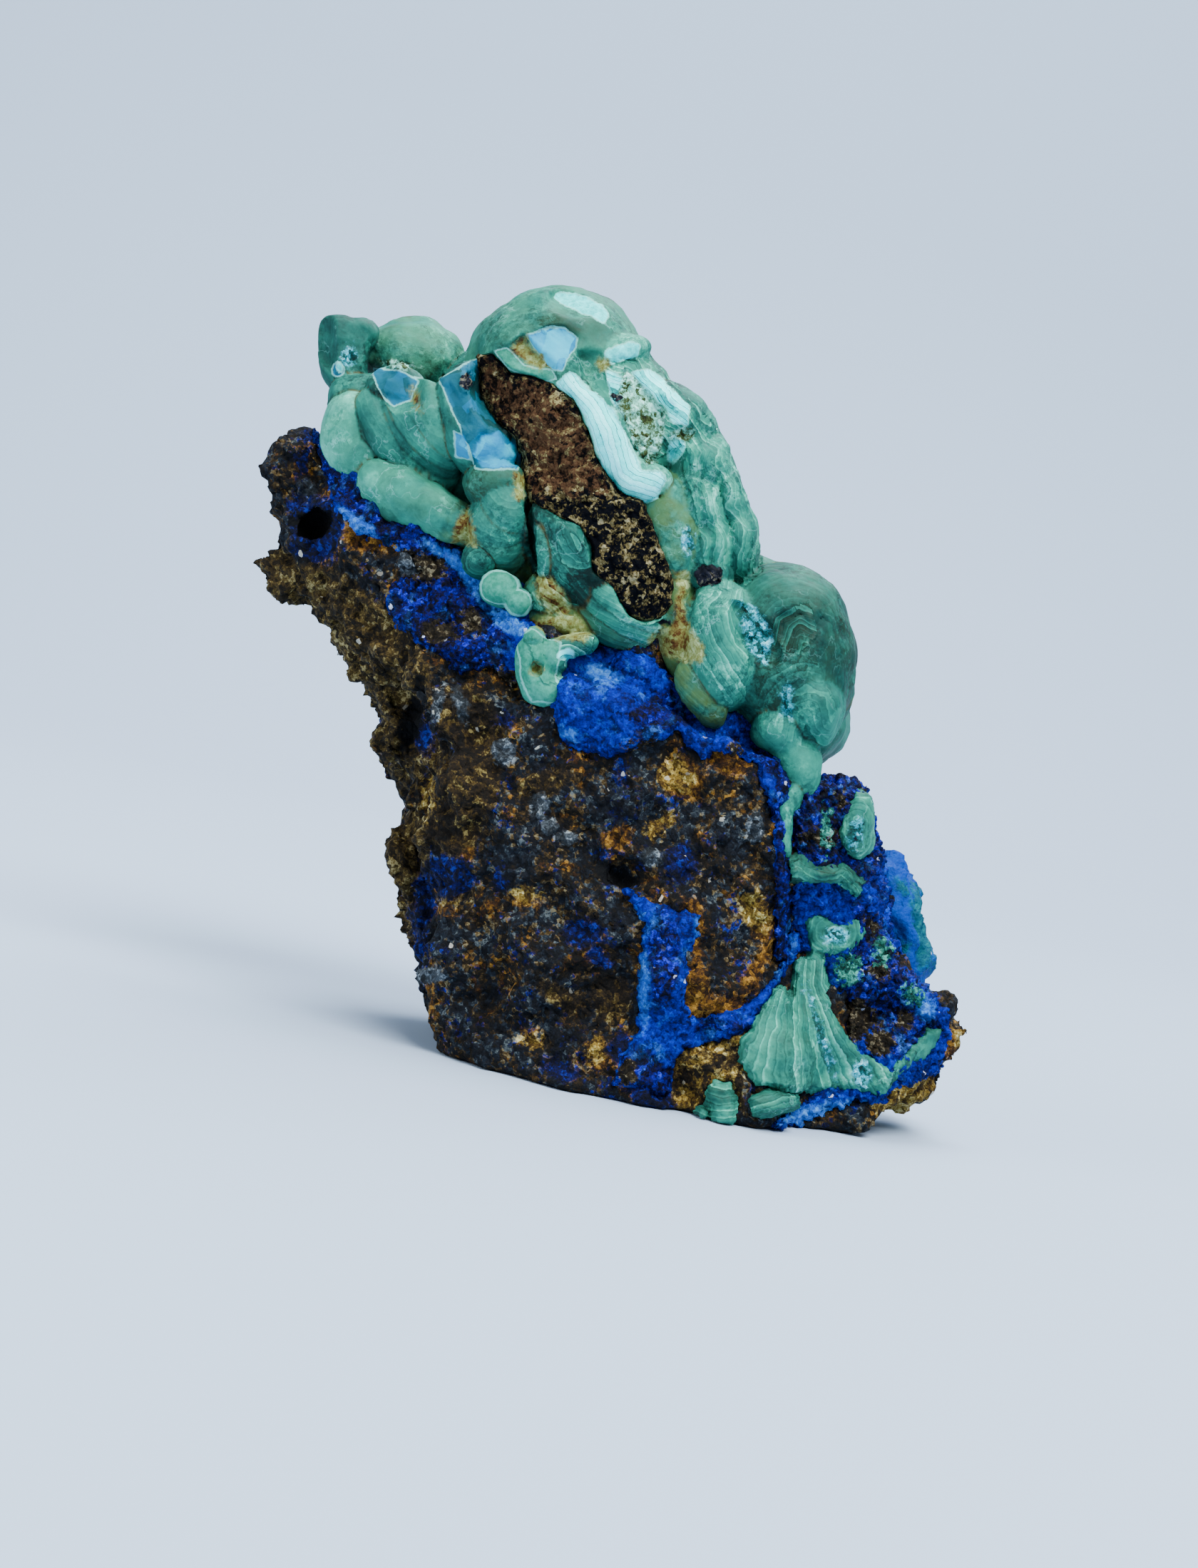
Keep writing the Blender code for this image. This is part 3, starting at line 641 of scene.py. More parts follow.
# The malachite cap: kidney-shaped lobes, by the cluster they flow together in; those of the second row
# stand alone, from the left round to the right and then the back
CAP_LOBES = (
    *lobes("knob", (482, 496, -1.4, 0.8, 1.2, 0.78, 8, 0.34, 0.0, 0.2, -0.1, 1.0, 0.3, 0.0),
        (466, 470, -1.5, 0.4, 0.6, 0.62, 0, 0.26), (503, 474, -1.5, 0.54, 0.64, 0.62, -20, 0.38)),
    *lobes("", (500, 560, -1.0, 0.85, 0.8, 0.8, 0, 0.42),
        (578, 507, -3.0, 1.66, 1.26, 1.6, 0, 0.52, 0.3, 0.1, 0.7, 0.5, 0.5, 0.0),
        (552, 540, 0.2, 0.72, 0.6, 0.85, 0, 0.35), (668, 590, 1.1, 1.2, 1.75, 1.1, 18, 0.35),
        (762, 768, 2.0, 0.48, 0.95, 0.72, 14, 0.32, 0.0, 0.5, 0.3, 0.8, 0.3, 0.01),
        (778, 832, 1.5, 0.8, 0.86, 0.95, -30, 0.52, 0.7, 0.7, 0.7, 0.2, 0.13, 0.04),
        (700, 826, 1.9, 0.6, 0.55, 0.42, -10, 0.62, 0.05), (727, 845, 2.1, 0.38, 0.4, 0.36, 0, 0.6, 0.05),
        (672, 784, 1.4, 0.55, 0.5, 0.6, 0, 0.3, 0.0, 0.1, -0.3, 0.9, 0.14, 0.03),
        (795, 872, 1.4, 1.25, 0.62, 0.85, -6, 0.25, 1.0), (750, 892, 2.6, 0.32, 0.32, 0.6, 0, 0.7),
        (612, 650, -1.0, 2.1, 2.3, 1.35, 20), (722, 668, -0.9, 1.55, 1.8, 1.4, 20),
        (722, 770, 0.2, 1.5, 1.6, 1.1, 20, 0.1, 0.6), (948, 865, 1.2, 0.72, 1.95, 0.95, 8, 0.4, 1.0),
        (700, 575, -2.6, 2.3, 2.0, 1.7, 20), (978, 800, -1.6, 1.85, 2.2, 1.9, 30),
        (742, 545, -3.9, 2.25, 2.35, 2.1, 0, 0.55, 0.1, 0.1, 0.4, -0.9),
        (700, 640, -5.4, 1.35, 1.25, 1.2, 0, 0.48, 0.1, -0.2, -0.1, -1.0),
        (560, 610, -3.9, 1.25, 1.45, 1.25, 0, 0.58, 0.0, -0.7, 0.0, -0.7),
        (628, 672, -4.7, 1.45, 1.4, 1.35, 0, 0.5, 0.2, -0.4, -0.2, -0.9),
        (868, 655, -4.1, 2.2, 2.15, 2.2, 30, 0.48, 0.1, 0.4, 0.3, -0.8),
        (812, 745, -5.9, 1.45, 1.3, 1.25, 0, 0.58, 0.1, 0.0, -0.2, -1.0),
        (952, 740, -3.8, 1.75, 1.6, 1.9, 0, 0.44, 0.0, 0.6, 0.2, -0.8),
        (1046, 872, -3.4, 2.0, 2.1, 2.1, 0, 0.46, 0.1, 0.6, 0.3, -0.7),
        (958, 860, -5.3, 1.55, 1.5, 1.45, 0, 0.54, 0.1, 0.1, -0.1, -1.0),
        (1118, 995, -3.0, 1.6, 1.75, 1.65, 0, 0.46, 0.1, 0.8, -0.2, -0.5),
        (722, 805, -5.6, 1.75, 1.6, 1.4, 20, 0.48, 0.2, -0.2, -0.2, -1.0),
        (862, 905, -5.9, 1.8, 1.45, 1.45, 20, 0.56, 0.1, 0.0, -0.2, -1.0),
        (1020, 1005, -5.0, 1.55, 1.35, 1.35, 20, 0.48, 0.1, 0.3, -0.3, -0.9)),
    *lobes("left", (497, 618, -0.6, 1.02, 1.56, 1.15, 8, 0.72, 0.1, 0.3, -0.3, 1.0, 0.5, 0.0),
        (516, 645, -0.2, 0.7, 0.86, 0.86, 0, 0.66, 0.1)),
    *lobes("long", (526, 676, 0.4, 0.6, 0.66, 0.86, -20, 0.66, 0.1),
        (568, 693, 0.5, 1.05, 0.82, 1.05, -25, 0.6, 0.15),
        (554, 714, 0.42, 0.46, 0.42, 0.8, 0, 0.48, 0.15), (606, 714, 0.62, 1.1, 0.74, 1.05, -30, 0.6, 0.2),
        (642, 735, 0.66, 0.76, 0.64, 0.92, -34, 0.52, 0.6)),
    *lobes("shells", (556, 616, -0.05, 0.92, 1.72, 1.15, 34, 0.46, 0.0, 0.7, 0.7, 0.5, 0.3, 0.008),
        (552, 622, -0.25, 0.94, 1.8, 1.15, 34, 0.56, 0.0, 0.7, 0.7, 0.5, 0.3, 0.008),
        (592, 604, 0.52, 0.86, 1.6, 1.08, 36), (588, 611, 0.36, 0.9, 1.7, 1.08, 36, 0.37),
        (584, 618, 0.18, 0.93, 1.8, 1.08, 36, 0.52), (581, 624, 0.0, 0.94, 1.86, 1.06, 36, 0.6),
        (608, 590, 0.85, 0.84, 1.4, 0.95, 32, 0.54, 0.1, 0.4, 0.5, 0.9, 0.3, 0.0),
        lines=(0.6, 0.6, 0.8, 0.24, 0.01)),
    *lobes("fan", (694, 680, 1.35, 0.94, 0.74, 0.98, 0, 0.32, 0.2, 0.2, 0.4, 0.9, 0.3, 0.004),
        (708, 718, 1.58, 0.8, 0.94, 1.0, 8, 0.46), (700, 734, 1.38, 0.88, 1.04, 1.02, 10, 0.44),
        (700, 746, 1.16, 0.9, 1.12, 1.04, 12, 0.48, 0.1),
        (702, 754, 0.92, 0.92, 1.18, 1.06, 12, 0.42, 0.35), lines=(0.2, 0.8, 0.6, 0.22, 0.012)),
    *lobes("big", (818, 762, 1.7, 1.05, 2.05, 1.55, 33, 0.19, 0.0, -0.1, 0.2, 1.0, 0.3, 0.01),
        (802, 786, 1.3, 1.12, 2.4, 1.5, 36, 0.15, 0.0, 0.5, 0.3, 0.8, 0.24, 0.03)),
    *lobes("scallops", (872, 842, 1.75, 1.46, 0.84, 1.18, -35, 0.72, 0.0, 0.3, 0.8, 0.5, 0.15),
        (862, 853, 1.55, 1.5, 0.82, 1.16, -34, 0.62), (850, 864, 1.3, 1.5, 0.8, 1.12, -33, 0.44, 0.3),
        lines=(0.3, 0.8, 0.5, 0.13, 0.02)),
    *lobes("mint", (752, 940, 2.5, 0.6, 1.05, 0.72, 8, 0.66), (768, 968, 2.5, 0.66, 0.46, 0.66, 0, 0.66)),
    *lobes("arc", (800, 905, 2.5, 0.85, 0.34, 0.6, 10, 0.5, 0.1),
        (776, 922, 2.6, 0.34, 0.52, 0.58, 14, 0.5, 0.1)),
    *lobes("dome", (782, 522, -0.5, 2.73, 2.53, 2.75, 0, 0.54, 0.18, 0.1, 0.6, 0.8, 0.55, 0.0),
        (868, 590, -0.2, 1.9, 2.5, 2.6, 28, 0.56, 0.1, 0.4, 0.6, 0.6, 0.3, 0.01),
        (868, 500, 0.9, 0.95, 0.5, 1.1, 20, 0.7)),
    *lobes("band", (846, 612, 1.8, 0.62, 2.2, 1.0, 33, 0.8), (905, 678, 1.8, 0.8, 0.6, 0.85, 0, 0.8)),
    *lobes("cascade", (945, 590, 0.5, 1.35, 1.0, 1.85, -35, 0.5, 0.0, 0.4, 0.7, 0.6),
        (975, 710, 0.7, 0.8, 2.1, 1.25, 10, 0.4, 0.1, 0.0, 0.0, 1.0, 0.45, 0.006),
        (985, 700, -0.5, 1.12, 2.2, 1.7, 0, 0.4, 0.1, 0.0, 0.0, 1.0, 0.45, 0.006),
        (966, 638, 0.8, 0.34, 0.95, 1.5, 12, 0.52), (988, 648, 0.7, 0.36, 1.0, 1.5, 16, 0.46),
        (1007, 652, 0.4, 0.42, 0.95, 1.45, 18), (972, 706, 0.95, 0.36, 1.1, 1.4, 4, 0.42),
        (994, 716, 0.85, 0.36, 0.9, 1.45, 8, 0.52), (1024, 700, 0.35, 0.5, 1.05, 1.45, 10, 0.46),
        (984, 772, 0.85, 0.42, 0.8, 1.4, -4, 0.42), (1006, 768, 0.8, 0.36, 0.95, 1.42, 2),
        (1036, 765, 0.25, 0.62, 1.22, 1.45, 0, 0.44),
        (994, 808, 1.25, 0.7, 0.46, 1.0, 0, 0.3, 0.0, 0.0, 0.0, 1.0, 0.45, 0.006),
        (938, 745, 1.3, 0.95, 1.75, 1.25, 6, 0.5, 0.8, 0.0, 0.6, 0.8, 0.4, 0.0),
        lines=(-0.5, 0.5, 0.8, 0.17, 0.03)),
    *lobes("right", (1010, 905, 1.7, 1.1, 1.95, 1.4, 0, 0.54, 0.0, 0.0, 0.0, 1.0, 0.45, 0.006),
        (1103, 925, 0.2, 2.06, 2.72, 2.55, 0, 0.31, 0.1, 0.1, -0.1, 1.0, 0.3, 0.008),
        (1098, 868, 0.3, 1.75, 1.6, 2.2, 0, 0.33, 0.1, 0.1, -0.2, 1.0, 0.26),
        (1134, 985, 1.3, 0.95, 1.15, 1.42, 0, 0.4), (1157, 1005, 1.3, 0.42, 0.9, 1.1, -6, 0.55),
        lines=(0.0, 0.0, 1.0, 0.22, 0.01)),
    *lobes("tongue", (1118, 1075, 1.3, 0.74, 1.12, 0.85, -4, 0.58),
        (1092, 1020, 1.5, 0.8, 0.8, 0.95, 30, 0.54)),
    *lobes("olive", (982, 965, 2.0, 0.66, 0.98, 0.56, 26, 0.4, 0.8, 0.4, 0.8, 0.4, 0.2, 0.03),
        (1000, 1000, 2.0, 0.42, 0.44, 0.48, 30, 0.4, 0.6)),
    *lobes("strip", (1112, 1120, 1.9, 0.3, 0.5, 0.34, 0, 0.55),
        (1102, 1148, 2.2, 0.26, 0.6, 0.34, 6, 0.55), (1100, 1182, 2.5, 0.22, 0.5, 0.34, 0, 0.55)),
)
STEP_BLEND = 0.012
CLUSTER_BLEND = {
    "shells": STEP_BLEND, "fan": STEP_BLEND, "scallops": STEP_BLEND, "big": 0.05, "knob": 0.05,
    "left": 0.16, "long": 0.14, "mint": 0.1, "arc": 0.06, "dome": 0.1, "band": 0.12, "cascade": 0.06,
    "right": 0.12, "tongue": 0.12, "olive": 0.12, "strip": 0.08}

# Limonite core that shows where the cap is broken open, and its root in the rock
WINDOW_ROOT = {
    "root top": Lump(800, 700, -0.6, (1.0, 1.0, 1.3)),
    "root middle": Lump(842, 770, -0.7, (1.0, 1.3, 1.3)),
    "root bend": Lump(885, 840, -0.8, (1.0, 1.2, 1.3)),
    "root foot": Lump(880, 920, -1.6, (1.0, 1.2, 1.3)),
}

# The rock: the broken front, the receding flank, the arm under the cap and the ledges behind
ROCK_SLABS = {
    "front": Slab(
        ((598, 985, 2.2), (640, 942, 2.6), (745, 960, 3.0), (900, 985, 3.2), (1060, 1045, 3.0),
            (1098, 1110, 2.8), (1106, 1300, 2.9), (1112, 1420, 3.1), (1110, 1600, 3.2), (900, 1590, 3.9),
            (740, 1560, 3.5), (620, 1510, 2.4), (592, 1400, 1.6), (588, 1240, 1.8), (604, 1120, 2.2)),
        -5.6, 0.8),
    "flank": Slab(
        ((1020, 1040, 2.2), (1130, 1090, 1.8), (1196, 1108, 0.8), (1220, 1200, 0.3), (1232, 1290, 0.1),
            (1250, 1350, 0.0), (1290, 1392, -0.3), (1326, 1425, -0.8), (1350, 1452, -1.0),
            (1322, 1505, -0.4), (1288, 1552, 0.3), (1180, 1600, 1.6), (1050, 1600, 2.8)), -3.8, 0.84),
    "arm": Slab(
        ((450, 602, -0.3), (402, 600, -0.9), (374, 638, -1.2), (372, 694, -1.2), (398, 722, -0.6),
            (372, 768, -1.8), (366, 840, -1.9), (432, 836, -0.7), (468, 872, -0.2), (540, 950, 1.2),
            (640, 985, 2.2), (745, 985, 2.9), (800, 900, 2.2), (760, 850, 1.6), (640, 760, 1.0),
            (545, 700, 0.6), (480, 650, 0.2)), -4.4, 0.9),
    "rear ledges": Slab(
        ((470, 846, -1.8), (522, 955, -1.6), (536, 1040, -1.4), (562, 1098, -1.0), (574, 1140, -1.0),
            (550, 1200, -1.4), (570, 1268, -0.6), (588, 1380, 0.4), (640, 1450, 0.6), (760, 1300, 0.6),
            (760, 1000, 0.4), (640, 860, 0.0)), -5.8, 0.9),
    "under the cap": Slab(
        ((500, 690, -0.6), (600, 700, 0.0), (760, 760, 0.4), (900, 850, 1.2), (1000, 890, 1.0),
            (1090, 980, 1.2), (1110, 1090, 1.6), (960, 1100, 2.4), (700, 1000, 2.2), (560, 860, 0.8)),
        -4.6, 0.84),
    "back block": Slab(
        ((600, 1120, -3.0), (720, 980, -3.0), (960, 1000, -3.0), (1110, 1130, -3.0), (1180, 1330, -3.0),
            (1190, 1600, -3.0), (900, 1600, -3.0), (690, 1540, -3.0), (610, 1420, -3.0)), -8.2, 0.72),
}
ROCK_LUMPS = {
    "khaki column": Lump(645, 1075, 1.9, (0.95, 2.7, 1.1), 4),
    "laminated chunk": Lump(988, 1508, 3.1, (1.1, 1.05, 0.95)),
    "spur": Lump(1330, 1450, -1.2, (0.62, 0.45, 0.7)),
    "upper knob": Lump(412, 650, -1.2, (0.95, 1.2, 0.95)),
    "tan ledge": Lump(388, 797, -2.4, (0.86, 0.98, 1.0)),
    "ochre ledge": Lump(490, 876, -1.6, (1.0, 0.7, 1.2), -40),
    "lower left ledge": Lump(566, 1215, -1.6, (0.62, 1.25, 1.2)),
}
ROCK_PITS = {
    "deep hole": Lump(434, 730, 0.2, (0.6, 0.42, 1.5)),
    "left hollow": Lump(578, 1000, 0.2, (0.4, 1.3, 1.1), 12),
    "dark crack": Lump(878, 1222, 3.5, (0.5, 0.24, 0.85), -35),
    "notch by the chunk": Lump(940, 1505, 4.1, (0.18, 0.8, 0.6)),
    "ledge under the spur": Lump(1335, 1510, -0.6, (0.9, 0.5, 1.6), 30),
    "left ledge": Lump(520, 1120, -2.0, (0.7, 0.36, 1.6), -20),
    "back notch": Lump(1000, 1250, -8.6, (1.6, 0.6, 1.3), 25),
    "back hollow": Lump(760, 1260, -8.8, (1.1, 1.7, 1.3), -15),
}
SPUR_TIP = Lump(1346, 1447, -1.1, (0.42, 0.20, 0.36), 12)
SLAB_LUMPS = {
    "rear slab": Lump(1256, 1288, -4.2, (0.95, 2.05, 1.6), 12),
    "rear slab foot": Lump(1272, 1350, -4.0, (0.85, 1.05, 1.35)),
}


@dataclass
class Relief:
    """A smooth depth over the picture, drawn through given places of it."""

    places: tuple[tuple[float, float, float], ...]
    reach: float = 100.0

    def __post_init__(self) -> None:
        """Works out the weights that carry the surface through its places."""
        known = np.array(self.places)
        self.knots = known[:, :2] / self.reach
        count = len(known)
        system = np.zeros((count + 3, count + 3))
        system[:count, :count] = self._bend(self.knots)
        system[:count, count] = 1.0
        system[:count, count + 1 :] = self.knots
        system[count:, :count] = system[:count, count:].T
        self.weights = np.linalg.solve(system, np.append(known[:, 2], (0.0, 0.0, 0.0)))

    def _bend(self, spots: Array) -> Array:
        """How much each knot bends the surface at the given places."""
        away = np.linalg.norm(spots[:, None, :] - self.knots[None, :, :], axis=2)
        return away**2 * np.log(np.maximum(away, 1e-6))

    def depth(self, columns: Array, rows: Array) -> Array:
        """Its depth at picture points."""
        spots = np.stack((columns, rows), axis=1) / self.reach
        flat = self.weights[-3] + spots @ self.weights[-2:]
        return self._bend(spots) @ self.weights[:-3] + flat


@dataclass(frozen=True)
class Facet:
    """A flat break: inside its outline the surface lies no higher than a tilted plane."""

    outline: Pairs
    depth: float
    right: float = 0.0
    down: float = 0.0
    rise: float = 2.2

    def limit(self, columns: Array, rows: Array) -> Array:
        """The highest depth the surface may have at picture points."""
        middle = np.array(self.outline).mean(axis=0)
        tilt = self.right * (columns - middle[0]) + self.down * (rows - middle[1])
        outside = np.maximum(-inside_by(self.outline, columns, rows), 0.0)
        return self.depth + tilt * VIEW.mm_per_pixel + self.rise * outside

    def box(self) -> tuple[Array, Array]:
        """The corners of a box round the places it can change."""
        corners = np.array(self.outline)
        low, high = corners.min(axis=0) - FACET_MARGIN, corners.max(axis=0) + FACET_MARGIN
        depths = (self.depth + FACET_SPAN[0], self.depth + FACET_SPAN[1])
        return view_box((low[0], high[0]), (low[1], high[1]), depths)


def soft_step(values: Array, low: float, high: float) -> Array:
    """Rises smoothly from 0 at LOW to 1 at HIGH."""
    share = np.clip((values - low) / (high - low), 0.0, 1.0)
    return share * share * (3.0 - 2.0 * share)


def closed_shell(front: Array, faces: Array, back: Array) -> Skin:
    """Closes an open sheet with a back layer and walls round its rim.

    Args:
        front: Points of the sheet.
        faces: Its triangles.
        back: The same number of points, behind the front ones.

    Returns:
        The closed skin; its front points come first.
    """
    edges = np.concatenate([faces[:, [0, 1]], faces[:, [1, 2]], faces[:, [2, 0]]])
    keys = edges[:, 0].astype(np.int64) * len(front) + edges[:, 1]
    turned = edges[:, 1].astype(np.int64) * len(front) + edges[:, 0]
    rim = edges[~np.isin(keys, turned)]
    count = len(front)
    a, b = rim[:, 0], rim[:, 1]
    walls = np.concatenate(
        [np.stack((b, a, a + count), axis=1), np.stack((b, a + count, b + count), axis=1)]
    )
    joined = np.concatenate([faces, faces[:, ::-1] + count, walls]).astype(np.int32)
    return Skin(np.concatenate([front, back]), joined)


@dataclass
class Plate:
    """An even grid of picture points that becomes a closed plate."""

    outlines: tuple[Pairs, ...]
    spacing: float
    margin: float = 14.0

    def __post_init__(self) -> None:
        """Lays the grid over the outlines."""
        corners = np.array([corner for outline in self.outlines for corner in outline], float)
        low, high = corners.min(axis=0) - self.margin, corners.max(axis=0) + self.margin
        across = np.arange(low[0], high[0], self.spacing)
        down = np.arange(low[1], high[1], self.spacing)
        self.shape = (len(down), len(across))
        columns, rows = np.meshgrid(across, down)
        self.columns, self.rows = columns.ravel(), rows.ravel()

    def inside(self) -> Array:
        """Millimetres that the grid's points are inside the outlines."""
        return insides(self.outlines, self.columns, self.rows)

    def ground(self, tree: BVHTree) -> Array:
        """The depth of a surface at each point, far behind where there is none."""
        eye = Vector(VIEW.eye())
        depths = np.full(len(self.columns), FAR_BEHIND)
        aims = VIEW.place(self.columns, self.rows, 0.0) - VIEW.eye()
        for index, aim in enumerate(aims.tolist()):
            place, _, _, _ = tree.ray_cast(eye, Vector(aim).normalized())
            if place is not None:
                depths[index] = VIEW.picture(np.array([place]))[2][0]
        return depths

    def nearest(self, values: Array, columns: Array, rows: Array) -> Array:
        """The value of the grid's nearest point at picture points."""
        across = np.rint((columns - self.columns[0]) / self.spacing).astype(int)
        down = np.rint((rows - self.rows[0]) / self.spacing).astype(int)
        across = np.clip(across, 0, self.shape[1] - 1)
        return values.reshape(self.shape)[np.clip(down, 0, self.shape[0] - 1), across]

    def closed(self, kept: Array, front: Array, back: Array, marks: dict[str, Array]) -> Skin:
        """Closes the kept part between a front and a back depth.

        Args:
            kept: Which points belong to the plate.
            front: The depth of its face at each point.
            back: The depth of its back.
            marks: Values for its points.

        Returns:
            The closed skin with its marks.
        """
        index = np.arange(len(kept)).reshape(self.shape)
        kept = kept.reshape(self.shape)
        whole = kept[:-1, :-1] & kept[1:, :-1] & kept[:-1, 1:] & kept[1:, 1:]
        a, b = index[:-1, :-1][whole], index[:-1, 1:][whole]
        c, d = index[1:, 1:][whole], index[1:, :-1][whole]
        faces = np.concatenate([np.stack((a, d, c), axis=1), np.stack((a, c, b), axis=1)])
        used = np.unique(faces)
        renumber = np.zeros(index.size, int)
        renumber[used] = np.arange(len(used))
        columns, rows = self.columns[used], self.rows[used]
        skin = closed_shell(
            VIEW.place(columns, rows, front[used]), renumber[faces], VIEW.place(columns, rows, back[used])
        )
        skin.marks = {name: np.concatenate([values[used], values[used]]) for name, values in marks.items()}
        return skin


class Tree:
    """Writes the nodes and links of a material or a node group."""

    def __init__(self, tree: NodeTree) -> None:
        """Takes the node tree to write in."""
        self.tree = tree

    def node(self, kind: str, **settings: object) -> Node:
        """Adds a node and sets its properties."""
        made = self.tree.nodes.new(kind)
        for name, value in settings.items():
            setattr(made, name, value)
        return made

    def feed(self, socket: NodeSocket, value: object) -> None:
        """Links a socket to another, or gives it a constant."""
        if isinstance(value, NodeSocket):
            self.tree.links.new(value, socket)
        else:
            socket.default_value = value

    def math(self, operation: str, *values: object, clamp: bool = False) -> NodeSocket:
        """Adds a sum or comparison of its values and gives its result."""
        made = self.node("ShaderNodeMath", operation=operation, use_clamp=clamp)
        for socket, value in zip(made.inputs, values):
            self.feed(socket, value)
        return made.outputs[0]

    def times(self, first: object, second: object) -> NodeSocket:
        """Two values multiplied."""
        return self.math("MULTIPLY", first, second)

    def fma(self, value: object, factor: object, more: object) -> NodeSocket:
        """A value multiplied by a factor, plus more."""
        return self.math("MULTIPLY_ADD", value, factor, more)

    def centred(self, value: object) -> NodeSocket:
        """A value less a half."""
        return self.math("SUBTRACT", value, 0.5)

    def rest(self, value: object) -> NodeSocket:
        """What a value leaves of 1."""
        return self.math("SUBTRACT", 1.0, value)

    def mix(self, share: object, first: object, second: object) -> NodeSocket:
        """Blends two colours."""
        made = self.node("ShaderNodeMix", data_type="RGBA")
        self.feed(made.inputs[0], share)
        self.feed(made.inputs[6], first)
        self.feed(made.inputs[7], second)
        return made.outputs[2]

    def between(self, share: object, first: object, second: object) -> NodeSocket:
        """Blends two values."""
        made = self.node("ShaderNodeMix", data_type="FLOAT")
        self.feed(made.inputs[0], share)
        self.feed(made.inputs[2], first)
        self.feed(made.inputs[3], second)
        return made.outputs[0]

    def step(self, value: object, low: object, high: object) -> NodeSocket:
        """A smooth rise from 0 at LOW to 1 at HIGH."""
        made = self.node("ShaderNodeMapRange", interpolation_type="SMOOTHSTEP")
        self.feed(made.inputs[0], value)
        self.feed(made.inputs[1], low)
        self.feed(made.inputs[2], high)
        return made.outputs[0]

    def ramp(self, value: object, stops: Scale) -> NodeSocket:
        """A scale of colours along a value from 0 to 1, given as place, colour, place, colour."""
        made = self.node("ShaderNodeValToRGB")
        scale = made.color_ramp.elements
        while 2 * len(scale) < len(stops):
            scale.new(1.0)
        for element, place, colour in zip(scale, stops[::2], stops[1::2]):
            element.position = place
            element.color = paint(colour)
        self.feed(made.inputs[0], value)
        return made.outputs[0]

    def mark(self, name: str) -> NodeSocket:
        """A named value of the mesh's points."""
        return self.node("ShaderNodeAttribute", attribute_name=name).outputs["Fac"]

    def place(self) -> NodeSocket:
        """Positions on the object, in metres."""
        return self.node("ShaderNodeTexCoord").outputs["Object"]

    def noise(self, size: float, detail: float = 2.0, rough: float = 0.55) -> NodeSocket:
        """Cloudy noise whose lumps are SIZE millimetres wide."""
        made = self.node("ShaderNodeTexNoise")
        self.feed(made.inputs["Vector"], self.place())
        made.inputs["Scale"].default_value = 1.0 / (size * MM)
        made.inputs["Detail"].default_value = detail
        made.inputs["Roughness"].default_value = rough
        return made.outputs[0]

    def cells(self, size: float, feature: str = "F1") -> Node:
        """Cells SIZE millimetres wide."""
        made = self.node("ShaderNodeTexVoronoi", feature=feature)
        self.feed(made.inputs["Vector"], self.place())
        made.inputs["Scale"].default_value = 1.0 / (size * MM)
        return made

    def mask(self, group: NodeTree, name: str, fray: float, soft: float) -> NodeSocket:
        """A ragged mask of a mark."""
        return self.use(group, Inside=self.mark(name), Fray=fray, Soft=soft)["Mask"]

    def bump(self, shader: Node, height: object, deep: float, strength: float = 0.9) -> None:
        """Gives a surface bumps that are so many millimetres deep."""
        made = self.node("ShaderNodeBump")
        made.inputs["Distance"].default_value = deep * MM
        made.inputs["Strength"].default_value = strength
        self.feed(made.inputs["Height"], height)
        self.feed(shader.inputs["Normal"], made.outputs[0])

    def use(self, group: NodeTree, **values: object) -> bpy.types.bpy_prop_collection:
        """Places a node group, feeds its inputs and gives its outputs."""
        made = self.node("ShaderNodeGroup", node_tree=group)
        for name, value in values.items():
            self.feed(made.inputs[name], value)
        return made.outputs


def paint(colour: str) -> tuple[float, float, float, float]:
    """The linear colour of a code such as 3D7F7C."""
    shares = [int(colour[start : start + 2], 16) / 255.0 for start in (0, 2, 4)]
    linear = [s / 12.92 if s <= 0.04045 else ((s + 0.055) / 1.055) ** 2.4 for s in shares]
    return linear[0], linear[1], linear[2], 1.0


def new_group(name: str, inputs: dict[str, str], outputs: dict[str, str]) -> tuple[Tree, dict, dict]:
    """Starts a node group.

    Args:
        name: The group's name.
        inputs: Its inputs, as name and socket type.
        outputs: Its outputs, as name and socket type.

    Returns:
        The tree to write in, the inputs' sockets and the outputs' sockets.
    """
    group = bpy.data.node_groups.new(name, "ShaderNodeTree")
    for title, kind in inputs.items():
        group.interface.new_socket(name=title, in_out="INPUT", socket_type=kind)
    for title, kind in outputs.items():
        group.interface.new_socket(name=title, in_out="OUTPUT", socket_type=kind)
    tree = Tree(group)
    entry, leave = tree.node("NodeGroupInput"), tree.node("NodeGroupOutput")
    given = {title: entry.outputs[title] for title in inputs}
    wanted = {title: leave.inputs[title] for title in outputs}
    return tree, given, wanted


VALUE = "NodeSocketFloat"


def frayed_edge_group() -> NodeTree:
    """A patch's mask and rim from how far inside it a point is, with a ragged edge."""
    tree, given, wanted = new_group(
        "Frayed edge", {"Inside": VALUE, "Fray": VALUE, "Soft": VALUE}, {"Mask": VALUE, "Rim": VALUE}
    )
    wobble = tree.centred(tree.noise(0.22, 4.0, 0.65))
    moved = tree.fma(wobble, given["Fray"], given["Inside"])
    soft = tree.math("MAXIMUM", given["Soft"], 0.002)
    tree.feed(wanted["Mask"], tree.step(moved, tree.times(soft, -1.0), soft))
    tree.feed(wanted["Rim"], tree.rest(tree.step(tree.math("ABSOLUTE", moved), 0.01, 0.04)))
    return tree.tree


